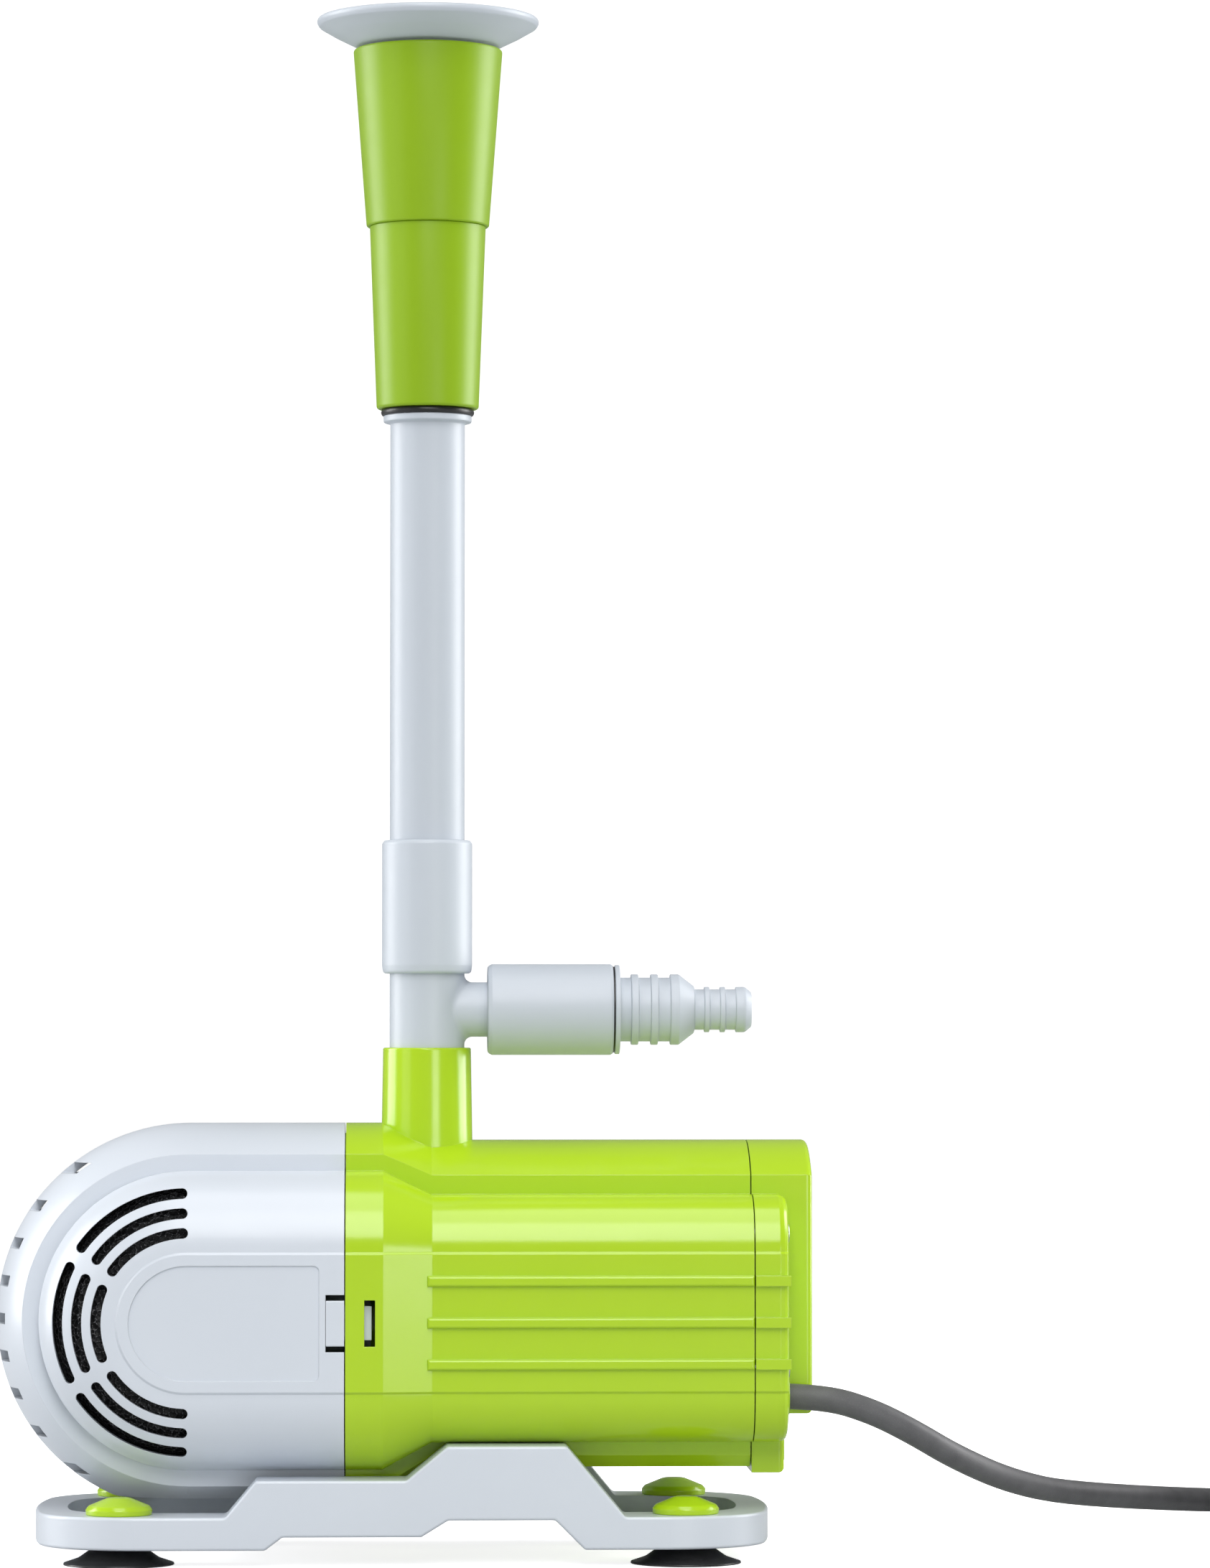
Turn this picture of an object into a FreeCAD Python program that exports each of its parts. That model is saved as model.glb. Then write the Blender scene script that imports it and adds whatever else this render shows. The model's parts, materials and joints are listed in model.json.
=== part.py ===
"""Fountain submersible pump with filter cage, riser, side outlet, bell nozzle and mains cable.

Millimetres. +Z up, the pump's motor axis along X with the filter cage at -X and the cable at +X.
The origin is on the floor under the middle of the pump.
"""
import math
import os

import FreeCAD
import Part
import Sketcher

from FreeCAD import Placement, Rotation, Vector

doc = FreeCAD.newDocument("fountain_pump")

# ---------------------------------------------------------------- driving dimensions
SIZES = {
    # pump body, measured about the motor axis
    "axis_height": 67.5, "half_length": 115.5, "wall": 2.5,
    "spine_half": 27.0, "plate_half": 19.7, "plate_step": 0.6,
    "front_crest": 55.1, "front_drop": 8.5, "front_ledge": 41.9, "front_half": 49.7,
    "front_under": 50.5, "front_foot_half": 20.3,
    "motor_crest": 50.2, "motor_drop": 9.5, "motor_ledge": 35.3, "motor_half": 47.4,
    "motor_low_ledge": 34.0, "motor_under": 41.5, "motor_foot_half": 24.0,
    "cage_end": -16.4, "housing_front": -16.1, "neck_start": -5.6, "neck_end": 8.1,
    "parting": 98.0, "cap_rear": 107.7, "joint_gap": 0.3,
    "rib_height": 2.9, "rib_pitch": 11.6, "rib_depth": 1.3,
    "slot_width": 2.9, "slot_pitch": 5.45, "slot_first": 25.05,
    "grille_height": 3.1, "grille_pitch": 10.6, "grille_half": 17.0, "grille_bar": 1.5,
    "tab_root": -21.6, "tab_half": 6.35, "tab_slit": 1.6, "tongue_half": 4.75, "tongue_end": -8.8,
    # inside the pump
    "chamber_radius": 27.0, "chamber_front": -9.0, "chamber_rear": 14.0,
    "magnet_radius": 11.8, "magnet_length": 30.0, "can_radius": 14.0, "shaft_radius": 2.0,
    # base
    "base_half_length": 104.1, "base_half_width": 51.0, "rail_inner": 32.0, "end_bar": 9.0,
    "base_corner": 28.0, "opening_corner": 18.0, "base_bow": 200.0, "opening_bow": 120.0,
    "base_under": 4.7, "foot_top": 13.8, "cup_pitch_half": 79.2, "cup_row_half": 37.7,
    "cup_radius": 15.5, "stud_radius": 4.0, "button_radius": 9.3,
    # outlet column
    "riser_x": 6.9, "spigot_top": 144.0, "spigot_radius": 12.55, "spigot_draft": 0.017,
    "tube_radius": 10.7, "tube_bore": 9.2,
    "branch_height": 154.9, "neck_radius": 7.8, "coupler_radius": 12.9, "coupler_low": 165.2,
    "coupler_length": 38.1, "collar_top": 325.3, "collar_radius": 12.65,
    "seal_radius": 13.4, "seal_height": 1.85, "nozzle_low": 327.2, "nozzle_step": 379.8,
    "nozzle_top": 430.9, "disc_radius": 32.0, "stem_radius": 3.0,
    "sleeve_start": 24.2, "sleeve_length": 35.9, "sleeve_radius": 13.0,
    "running_gap": 0.05,
    # cable
    "cable_radius": 3.6, "cable_exit_y": -32.5, "cable_exit_z": 46.2,
    "coil_x": 333.0, "coil_y": 92.0, "coil_outer": 79.4, "coil_inner": 42.6, "coil_height": 36.8,
    "plug_radius": 18.0, "plug_length": 40.0,
}

sheet = doc.addObject("Spreadsheet::Sheet", "Sizes")
for row, (alias, value) in enumerate(SIZES.items(), 1):
    sheet.set(f"A{row}", alias)
    sheet.set(f"B{row}", str(value))
    sheet.setAlias(f"B{row}", alias)
doc.recompute()


class Dim:
    """A length that keeps both its value and the spreadsheet formula that gives it."""

    def __init__(self, value, text):
        self.value, self.text = float(value), text

    def __float__(self):
        return self.value

    def __add__(self, other):
        return Dim(self.value + float(other), f"({self.text} + {formula(other)})")

    def __radd__(self, other):
        return dim(other) + self

    def __sub__(self, other):
        return Dim(self.value - float(other), f"({self.text} - {formula(other)})")

    def __rsub__(self, other):
        return dim(other) - self

    def __mul__(self, other):
        return Dim(self.value * float(other), f"({self.text} * {formula(other)})")

    def __neg__(self):
        return self * -1


def formula(value):
    return value.text if isinstance(value, Dim) else repr(float(value))


def dim(value):
    return value if isinstance(value, Dim) else Dim(value, formula(value))


def size(alias):
    """A driving dimension of the spreadsheet."""
    return Dim(sheet.get(alias), f"Sizes.{alias}")


def bind(item, **properties):
    """Ties properties of a document object to the spreadsheet."""
    for name, value in properties.items():
        item.setExpression(name.replace("__", "."), dim(value).text)
    return item


def place(item, x=0, y=0, z=0, turn=None):
    """Puts an object at x, y, z, turned by an (axis, degrees) pair."""
    if turn:
        item.Placement = Placement(Vector(0, 0, 0), Rotation(Vector(*turn[0]), turn[1]))
    bind(item, Placement__Base__x=x, Placement__Base__y=y, Placement__Base__z=z)
    return item


ALONG_X = ((0, 1, 0), 90)
finished = []


def keep(item, label):
    """Marks a sub-part of the assembly. Its Label names its file."""
    item.Label = label
    finished.append(item)
    return item


# ---------------------------------------------------------------- helpers for features
def origin_plane(body, role):
    return next(f for f in body.Origin.OriginFeatures if f.Role == role)


def add_sketch(body, name, role):
    sketch = body.newObject("Sketcher::SketchObject", name)
    sketch.AttachmentSupport = (origin_plane(body, role), [""])
    sketch.MapMode = "FlatFace"
    return sketch


def draw_polygon(sketch, corners):
    """Draws a closed outline whose every corner is tied to the spreadsheet."""
    spots = [Vector(float(u), float(v), 0) for u, v in corners]
    count = len(spots)
    for i in range(count):
        sketch.addGeometry(Part.LineSegment(spots[i], spots[(i + 1) % count]), False)
    for i in range(count):
        sketch.addConstraint(Sketcher.Constraint("Coincident", i, 2, (i + 1) % count, 1))
    for i, (u, v) in enumerate(corners):
        for kind, length in (("DistanceX", u), ("DistanceY", v)):
            index = sketch.addConstraint(Sketcher.Constraint(kind, -1, 1, i, 1, float(length)))
            sketch.setExpression(f"Constraints[{index}]", dim(length).text)


def circles_at(shape, radius, height):
    """Names of the round edges of a turned shape with that radius and height."""
    return [
        f"Edge{i}" for i, edge in enumerate(shape.Edges, 1)
        if isinstance(edge.Curve, Part.Circle)
        and abs(edge.Curve.Radius - float(radius)) < 1e-3
        and abs(edge.Curve.Center.z - float(height)) < 1e-3
    ]


def turned(label, corners, rounds=(), holes=()):
    """A body turned about its own Z from (radius, height) corners, with some edges rounded."""
    body = doc.addObject("PartDesign::Body", label)
    profile = add_sketch(body, label + "_profile", "XZ_Plane")
    draw_polygon(profile, corners)
    tip = body.newObject("PartDesign::Revolution", label + "_turned")
    tip.Profile = profile
    tip.ReferenceAxis = (profile, ["V_Axis"])
    tip.Angle = 360
    doc.recompute()
    for number, (radius, height, rounding) in enumerate(rounds):
        fillet = body.newObject("PartDesign::Fillet", f"{label}_round_{number}")
        fillet.Base = (tip, circles_at(tip.Shape, radius, height))
        fillet.Radius = rounding
        doc.recompute()
        tip = fillet
    body.Tip = tip
    return body


def ring(label, inner, outer, low, high, rounding=0.0):
    """A turned ring, such as a seal or a bush."""
    rounds = [(outer, low, rounding), (outer, high, rounding)] if rounding else []
    return turned(label, [(inner, low), (outer, low), (outer, high), (inner, high)], rounds)


def box(name, x, y, z, length, width, height):
    item = doc.addObject("Part::Box", name)
    bind(item, Length=length, Width=width, Height=height)
    return place(item, x, y, z)


def cylinder(name, radius, height, x=0, y=0, z=0, turn=None):
    item = doc.addObject("Part::Cylinder", name)
    bind(item, Radius=radius, Height=height)
    return place(item, x, y, z, turn)


def fuse(name, parts):
    item = doc.addObject("Part::MultiFuse", name)
    item.Shapes = parts
    item.Refine = True
    return item


def cut(name, base, tool):
    item = doc.addObject("Part::Cut", name)
    item.Base, item.Tool = base, tool
    item.Refine = True
    return item


def shaped(label, shape):
    """A sub-part whose form only Part's own functions make."""
    item = doc.addObject("Part::Feature", label)
    item.Shape = shape
    return keep(item, label)


# ---------------------------------------------------------------- the pump body's cross-section
def number(alias):
    return float(size(alias))


AXIS = number("axis_height")


class Section:
    """The body's outline across the motor axis: an arched spine, rounded shoulders, flat plates."""

    def __init__(self, kind, low_ledge):
        self.crest = number(f"{kind}_crest")
        self.drop = number(f"{kind}_drop")
        self.ledge = number(f"{kind}_ledge")
        self.half = number(f"{kind}_half")
        self.under = number(f"{kind}_under")
        self.foot = number(f"{kind}_foot_half")
        self.low_ledge = low_ledge

    def right_side(self, inset):
        """Edges of the +Y half from the crest down to the underside, as (y, z) about the axis."""
        spine = number("spine_half") - inset
        plate, step = number("plate_half"), number("plate_step")
        half = self.half - inset
        crest, ledge, low = self.crest - inset, self.ledge - inset, self.low_ledge - inset
        edge = self.crest - self.drop - inset
        under = self.under - inset
        upper, lower = ledge - plate - 0.35, low - plate - 0.35
        foot = min(self.foot, spine - 0.5)
        arch = circle_through_crest(crest, spine, edge)
        sag = math.sqrt(0.5)
        spots = [
            ("arc", (0, crest), arch(spine / 2), (spine, edge)),
            ("line", (spine, edge), (spine, ledge)),
            ("line", (spine, ledge), (half - upper, ledge)),
            ("arc", (half - upper, ledge),
             (half - upper * (1 - sag), ledge - upper * (1 - sag)), (half, ledge - upper)),
            ("line", (half, ledge - upper), (half, plate)),
            ("line", (half, plate), (half + step, plate - step)),
            ("line", (half + step, plate - step), (half + step, step - plate)),
            ("line", (half + step, step - plate), (half, -plate)),
            ("line", (half, -plate), (half, lower - low)),
            ("arc", (half, lower - low),
             (half - lower * (1 - sag), lower * (1 - sag) - low), (half - lower, -low)),
            ("line", (half - lower, -low), (spine, -low)),
        ]
        toe = -under + min(4.0, (under - low) * 0.45)
        spots += [
            ("line", (spine, -low), (spine, toe)),
            ("line", (spine, toe), (foot, -under)),
            ("line", (foot, -under), (0, -under)),
        ]
        return spots

    def wire(self, x, inset=0.0):
        edges = []
        for side in (1, -1):
            for kind, *points in self.right_side(inset):
                spots = [Vector(x, side * y, AXIS + z) for y, z in points]
                edges.append(
                    Part.Arc(*spots).toShape() if kind == "arc" else Part.LineSegment(*spots).toShape()
                )
        return Part.Wire(Part.__sortEdges__(edges))

    def prism(self, start, end, inset=0.0):
        return Part.Face(self.wire(start, inset)).extrude(Vector(end - start, 0, 0))


def circle_through_crest(crest, half, edge):
    """Height of an arch over y, from its crest and its edge at y = half."""
    drop = crest - edge
    radius = (half * half + drop * drop) / (2 * drop)
    return lambda y: (y, crest - radius + math.sqrt(radius * radius - y * y))


FRONT = Section("front", number("front_ledge"))
MOTOR = Section("motor", number("motor_low_ledge"))


def slab(x0, y0, z0, x1, y1, z1):
    """A plain block between two corners."""
    return Part.makeBox(x1 - x0, y1 - y0, z1 - z0, Vector(x0, y0, z0))


def rod(radius, start, end):
    """A round bar between two points."""
    return Part.makeCylinder(radius, (end - start).Length, start, end - start)


def on_axis(x):
    return Vector(x, 0, AXIS)


def softened(shape, radius, chosen):
    """Rounds the chosen edges, and leaves the shape as it is where no edge is chosen."""
    edges = [e for e in shape.Edges if chosen(e)]
    return shape.makeFillet(radius, edges) if edges else shape


def both_sides(tool):
    """A tool for the near side and its mirror image."""
    return [tool, tool.mirror(Vector(0, 0, 0), Vector(0, 1, 0))]


# ---------------------------------------------------------------- filter cage
CAGE_CENTRE = number("front_crest") - number("half_length")
CAGE_END = number("cage_end")
CAGE_FLOOR = AXIS - number("front_under")


def cage_block(inset):
    """The cage's D-shaped form: the front section, swept half a turn about its own centre."""
    half = FRONT.prism(CAGE_CENTRE, CAGE_END, inset)
    upper = [(kind, points) for kind, *points in FRONT.right_side(inset) if points[0][1] > 0]
    edges = []
    for side in (1, -1):
        for kind, points in upper:
            spots = [Vector(CAGE_CENTRE, side * y, AXIS + max(z, 0)) for y, z in points]
            if kind == "arc":
                edges.append(Part.Arc(*spots).toShape())
            else:
                edges.append(Part.LineSegment(*spots).toShape())
    reach = number("front_half") + number("plate_step") - inset
    edges.append(Part.LineSegment(
        Vector(CAGE_CENTRE, -reach, AXIS), Vector(CAGE_CENTRE, reach, AXIS)).toShape())
    face = Part.Face(Part.Wire(Part.__sortEdges__(edges)))
    nose = face.revolve(Vector(CAGE_CENTRE, 0, AXIS), Vector(0, -1, 0), 180)
    block = nose.fuse(half).removeSplitter()
    floor = slab(-200, -80, CAGE_FLOOR + inset, 100, 80, 200)
    return block.common(floor).removeSplitter()


def arc_slot(radius, start, end):
    """A curved water slot about the cage's centre, with round ends, between two angles."""
    width = number("slot_width") / 2

    def spot(r, degrees):
        angle = math.radians(degrees)
        return Vector(CAGE_CENTRE + r * math.cos(angle), 0, AXIS + r * math.sin(angle))

    middle = (start + end) / 2
    cap = math.degrees(width / radius)
    edges = [
        Part.Arc(spot(radius + width, start), spot(radius + width, middle), spot(radius + width, end)),
        Part.Arc(spot(radius + width, end), spot(radius, end + cap), spot(radius - width, end)),
        Part.Arc(spot(radius - width, end), spot(radius - width, middle), spot(radius - width, start)),
        Part.Arc(spot(radius - width, start), spot(radius, start - cap), spot(radius + width, start)),
    ]
    face = Part.Face(Part.Wire([e.toShape() for e in edges]))
    return face.extrude(Vector(0, 60, 0))


def cage_slots():
    """Three rows of curved slots in three groups on both flanks."""
    tools = []
    for row in range(3):
        radius = number("slot_first") + row * number("slot_pitch")
        middle = 22.0 + 1.75 * row
        for start, end in ((92.0, 144.5), (180 - middle, 180 + middle), (215.5, 268.0)):
            tools += both_sides(arc_slot(radius, start, end))
    return tools


def cage_grille():
    """Level slots through the cage's rounded nose, in two columns."""
    height, bar = number("grille_height"), number("grille_bar")
    tools = []
    for row in range(-4, 5):
        low = AXIS + row * number("grille_pitch") - height / 2
        tools += both_sides(slab(-130, bar, low, CAGE_CENTRE, number("grille_half"), low + height))
    return tools


def tab_window():
    """The opening in the cage's flank that the snap tab sits in, slits included."""
    half, slit = number("tab_half"), number("tab_slit")
    root = number("tab_root")
    window = slab(root, 40, AXIS - half - slit, CAGE_END + 1, 60, AXIS + half + slit)
    tab = slab(root - 1, 40, AXIS - half, CAGE_END + 2, 60, AXIS + half)
    return both_sides(window), both_sides(tab)


def label_recess():
    """The shallow D-shaped panel on each flank."""
    radius, depth, end = 16.0, 0.45, -23.4
    outer = number("front_half") + number("plate_step")
    disc = Part.makeCylinder(
        radius, 5, Vector(CAGE_CENTRE, outer - depth, AXIS), Vector(0, 1, 0))
    panel = slab(CAGE_CENTRE, outer - depth, AXIS - radius, end, outer + 4, AXIS + radius)
    corners = softened(panel, 1.6, lambda e: is_level(e, "y") and e.CenterOfMass.x > end - 0.1)
    return both_sides(disc.fuse(corners).removeSplitter())


def is_level(edge, axis):
    """True for a straight edge along that axis."""
    if not isinstance(edge.Curve, Part.Line):
        return False
    return abs(abs(getattr(edge.Curve.Direction, axis)) - 1) < 1e-6


def build_cage():
    windows, tabs = tab_window()
    shell = cage_block(0.0).cut(cage_block(number("wall")))
    mouth = FRONT.prism(CAGE_END - 5, CAGE_END + 1, number("wall"))
    shell = shell.cut([mouth, *cage_slots(), *cage_grille(), *windows, *label_recess()])
    shaped("filter_cage", shell)


def build_tabs():
    """A snap tab on each flank: a thumb pad, and a tongue that reaches behind the housing's window."""
    outer, root = number("front_half") + number("plate_step"), number("tab_root")
    half, tongue = number("tab_half"), number("tongue_half")
    pad = slab(root + 0.1, outer - 1.8, AXIS - half, CAGE_END, outer, AXIS + half)
    pad = softened(pad, 0.4, lambda e: is_level(e, "x") and e.CenterOfMass.y > outer - 0.1)
    bridge = slab(CAGE_END - 2.6, outer - 4.6, AXIS - tongue, CAGE_END - 0.6, outer - 1.0, AXIS + tongue)
    blade = slab(CAGE_END - 2.6, outer - 4.6, AXIS - tongue, number("tongue_end"),
                 outer - 3.1, AXIS + tongue)
    far, near = both_sides(pad.fuse([bridge, blade]).removeSplitter())
    shaped("latch_tab_near", near)
    shaped("latch_tab_far", far)


def build_foam():
    """The coarse foam block behind the slots, hollow round the pump's inlet."""
    gap = 4.0
    block = cage_block(gap).common(slab(-150, -80, 0, -28, 80, 200))
    hollow = rod(21.0, on_axis(-66), on_axis(0))
    relief = both_sides(slab(-30, 40, AXIS - 10, 0, 60, AXIS + 10))
    shaped("filter_foam", block.cut([hollow, *relief]).removeSplitter())


# ---------------------------------------------------------------- pump housing
def spigot():
    """The slightly tapering round outlet that the riser plugs into."""
    top, radius, foot = number("spigot_top"), number("spigot_radius"), AXIS + 28.5
    height = top - foot
    cone = Part.makeCone(radius + number("spigot_draft") * height, radius, height,
                         Vector(number("riser_x"), 0, foot))
    return softened(cone, 0.5, lambda e: isinstance(e.Curve, Part.Circle) and e.CenterOfMass.z > top - 1)


def side_ribs(start, end, reach):
    """Three raised ribs on each flank of the motor."""
    height, depth = number("rib_height"), number("rib_depth")
    outer = number("motor_half") + number("plate_step") + depth
    ribs = []
    for row in (-1, 0, 1):
        low = AXIS + row * number("rib_pitch") - height / 2
        rib = slab(start, outer - depth - 1.2, low, end, outer, low + height)
        rib = softened(rib, 0.7, lambda e: e.CenterOfMass.y > outer - 0.01
                       and e.CenterOfMass.x < end - reach)
        ribs += both_sides(rib)
    return ribs


def build_housing():
    front, neck = number("housing_front"), (number("neck_start"), number("neck_end"))
    rear, wall = number("parting"), number("wall")

    def form(inset, start, end):
        taper = Part.makeLoft(
            [FRONT.wire(neck[0], inset), MOTOR.wire(neck[1], inset)], True, True)
        return FRONT.prism(start, neck[0], inset).fuse(
            [taper, MOTOR.prism(neck[1], end, inset)]).removeSplitter()

    chamber_front, chamber_rear = number("chamber_front"), number("chamber_rear")
    casing = rod(number("chamber_radius") + 3.0, on_axis(chamber_front), on_axis(chamber_rear))
    bulkhead = MOTOR.prism(chamber_rear - 0.5, chamber_rear + wall, wall * 0.6)
    outlet = rod(12.0, Vector(number("riser_x"), 0, AXIS + 8), Vector(number("riser_x"), 0, AXIS + 48))
    lips = FRONT.prism(front - 4.5, front, 2.9).fuse(FRONT.prism(front, front + 4, 2.0))
    lips = lips.cut(FRONT.prism(front - 5, front + 5, 4.7)).common(slab(-40, -18, 0, 20, 18, 200))
    solid = form(0.0, front, rear).cut(form(wall, front - 1, rear + 1))
    bosses = [rod(4.4, Vector(84, y, z), Vector(rear, y, z)) for y, z in SCREW_SPOTS]
    solid = solid.fuse([casing, bulkhead, outlet, spigot(), lips, *bosses,
                        *side_ribs(neck[1] - 1.3, rear, -1)])
    bore = number("tube_radius") + number("running_gap")
    riser = number("riser_x")
    window = slab(-10.8, 40, AXIS - 6.45, -7.8, 60, AXIS + 6.45)
    holes = [
        rod(number("chamber_radius"), on_axis(chamber_front - 1), on_axis(chamber_rear)),
        rod(number("can_radius") + 0.1, on_axis(chamber_rear - 1), on_axis(chamber_rear + 5)),
        rod(bore, Vector(riser, 0, 119), Vector(riser, 0, 160)),
        rod(8.5, Vector(riser, 0, AXIS + 20), Vector(riser, 0, 130)),
        *both_sides(window),
        *[rod(1.6, Vector(90, y, z), Vector(rear + 1, y, z)) for y, z in SCREW_SPOTS],
    ]
    shaped("pump_housing", solid.cut(holes).removeSplitter())


def build_rear_cap():
    """The motor's rear cover, with the spine running down it as a ridge and a boss for the cable."""
    start = number("parting") + number("joint_gap")
    rear, ridge_rear = number("cap_rear"), number("half_length")
    spine, crest = number("spine_half"), number("motor_crest")
    edge, ridge_low = crest - number("motor_drop"), 26.5
    boss = Vector(rear - 2, number("cable_exit_y"), number("cable_exit_z"))

    body = MOTOR.prism(start, rear - 2.4, 0.0)
    rounding = [(rear - 2.4, 0.0), (rear - 1.2, 0.32), (rear - 0.4, 0.96), (rear, 2.0)]
    for (near_x, near_in), (far_x, far_in) in zip(rounding, rounding[1:]):
        step = [MOTOR.wire(near_x, near_in), MOTOR.wire(far_x, far_in)]
        body = body.fuse(Part.makeLoft(step, True, True))
    arch = circle_through_crest(crest, spine, edge)
    spots = [(y, AXIS + z) for y, z in (arch(-spine), arch(0), arch(spine))]
    top = Part.Arc(*[Vector(start, y, z) for y, z in spots]).toShape()
    low = AXIS - ridge_low
    sides = Part.makePolygon([
        Vector(start, spots[2][0], spots[2][1]), Vector(start, spine, low),
        Vector(start, -spine, low), Vector(start, spots[0][0], spots[0][1])])
    ridge = Part.Face(Part.Wire([top, *sides.Edges])).extrude(Vector(ridge_rear - start, 0, 0))
    ridge = softened(ridge, 1.6, lambda e: abs(e.CenterOfMass.x - ridge_rear) < 0.01)
    outside = body.fuse([ridge, rod(5.2, boss, boss + Vector(2.8, 0, 0)),
                         *side_ribs(start, rear + 0.5, 100)])
    foot_low, foot_high = 24.4, 34.0
    foot = slab(start, -spine, foot_low, rear - 0.2, spine, foot_high)
    foot = softened(foot, 1.6, lambda e: e.CenterOfMass.x > rear - 0.3
                    and e.CenterOfMass.z < foot_high - 0.1)
    outside = outside.fuse(foot)
    inside = MOTOR.prism(start - 1, rear - number("wall"), number("wall"))
    groove = slab(start - 1, -spine + 3, AXIS - 20, ridge_rear - 3, spine - 3, AXIS + 30)
    tunnel = rod(number("cable_radius") + 1.3, boss - Vector(20, 0, 0), boss + Vector(0.4, 0, 0))
    mouth = rod(number("cable_radius") + 0.1, boss, boss + Vector(20, 0, 0))
    screws = [rod(1.6, Vector(start - 1, y, z), Vector(rear + 9, y, z)) for y, z in SCREW_SPOTS]
    sinks = [rod(3.1, Vector(rear - 1.2, y, z), Vector(rear + 9, y, z)) for y, z in SCREW_SPOTS]
    posts = [rod(4.2, Vector(start, y, z), Vector(rear - 1, y, z)) for y, z in SCREW_SPOTS]
    solid = outside.cut([inside, groove]).fuse(posts).cut([tunnel, mouth, *screws, *sinks])
    shaped("rear_cap", solid.removeSplitter())


SCREW_SPOTS = [(side * across, AXIS + rise)
               for side in (-1, 1) for across, rise in ((40.0, 24.5), (41.6, -13.0))]


def build_cap_screws():
    """Four pan-head screws that hold the rear cap, set in its counterbores."""
    rear = number("cap_rear")
    screws = []
    for y, z in SCREW_SPOTS:
        head = rod(2.8, Vector(rear - 1.2, y, z), Vector(rear + 0.4, y, z))
        head = softened(head, 0.5, lambda e: e.CenterOfMass.x > rear)
        slots = [slab(rear - 0.5, y - 1.7, z - 0.35, rear + 2, y + 1.7, z + 0.35),
                 slab(rear - 0.5, y - 0.35, z - 1.7, rear + 2, y + 0.35, z + 1.7)]
        screws.append(head.fuse(rod(1.5, Vector(rear - 14, y, z), Vector(rear - 1.2, y, z))).cut(slots))
    shaped("cap_screws", Part.makeCompound(screws))


# ---------------------------------------------------------------- motor and hydraulics
def build_hydraulics():
    shaft, gap = size("shaft_radius"), size("running_gap")
    front = size("chamber_front")
    cover = turned("cover_form", [
        (14.0, -17.0), (16.5, -17.0), (16.5, -3.0), (33.0, -3.0), (33.0, 0.0), (29.3, 0.0),
        (29.3, -1.0), (27.2, -1.0), (27.2, 0.0), (26.9, 0.0), (26.9, 2.0), (24.5, 2.0),
        (24.5, 0.0), (14.0, 0.0)], [(16.5, -17.0, 0.8)])
    place(cover, front, 0, size("axis_height"), ALONG_X)
    hub = cylinder("cover_hub", 5.0, 6.0, front - 5, 0, size("axis_height"), ALONG_X)
    spokes = []
    for index in range(3):
        angle = math.radians(120 * index)
        spoke = box(f"cover_spoke_{index}", 0, 0, 0, 4.0, 2.0, 16.0)
        place(spoke, front - 5, -math.cos(angle), size("axis_height") - math.sin(angle),
              ((1, 0, 0), 120 * index))
        spokes.append(spoke)
    bore = cylinder("cover_bore", 3.6, 9.0, front - 6.5, 0, size("axis_height"), ALONG_X)
    keep(cut("cover_part", fuse("cover_solid", [cover, hub, *spokes]), bore), "impeller_cover")

    keep(place(ring("cover_seal", 27.3, 29.2, -0.9, 0.0, 0.4), front, 0, size("axis_height"), ALONG_X),
         "cover_seal")
    for name, x, length in (("front_bearing", front - 4.5, 5.0), ("rear_bearing", dim(47.2), 4.5)):
        keep(place(ring(name, shaft, 3.55, 0.0, length, 0.4), x, 0, size("axis_height"), ALONG_X), name)
    pin = turned("ceramic_shaft", [(0, 0), (shaft, 0), (shaft, 65.5), (0, 65.5)],
                 [(shaft, 0, 0.4), (shaft, 65.5, 0.4)])
    keep(place(pin, front - 5, 0, size("axis_height"), ALONG_X), "ceramic_shaft")

    can = size("can_radius")
    well = turned("rotor_can", [
        (can - 1.2, 0), (can, 0), (can, 39.0), (0, 39.0), (0, 37.8), (3.6, 37.8), (3.6, 33.0),
        (5.0, 33.0), (5.0, 36.5), (can - 1.2, 36.5)])
    keep(place(well, size("chamber_rear"), 0, size("axis_height"), ALONG_X), "rotor_can")

    magnet = ring("rotor_magnet", shaft + gap, size("magnet_radius"), 0.0, size("magnet_length"), 0.8)
    keep(place(magnet, 16.0, 0, size("axis_height"), ALONG_X), "rotor_magnet")


def build_impeller():
    """Hub, back plate and six straight vanes."""
    body = doc.addObject("PartDesign::Body", "impeller")
    outline = add_sketch(body, "impeller_profile", "XZ_Plane")
    bore = size("shaft_radius") + size("running_gap")
    draw_polygon(outline, [(bore, 0), (6.0, 0), (6.0, 9.0), (21.0, 9.0), (21.0, 10.6), (8.0, 10.6),
                           (8.0, 20.0), (bore, 20.0)])
    disc = body.newObject("PartDesign::Revolution", "impeller_disc")
    disc.Profile = outline
    disc.ReferenceAxis = (outline, ["V_Axis"])
    doc.recompute()
    vane_plan = add_sketch(body, "vane_plan", "XY_Plane")
    draw_polygon(vane_plan, [(5.0, -0.8), (22.0, -0.8), (22.0, 0.8), (5.0, 0.8)])
    vane = body.newObject("PartDesign::Pad", "vane")
    vane.Profile = vane_plan
    vane.Length = 9.5
    doc.recompute()
    pattern = body.newObject("PartDesign::PolarPattern", "vanes")
    pattern.Originals = [vane]
    pattern.Axis = (outline, ["V_Axis"])
    pattern.Angle = 360
    pattern.Occurrences = 6
    body.Tip = pattern
    keep(place(body, -4.0, 0, size("axis_height"), ALONG_X), "impeller")


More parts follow.
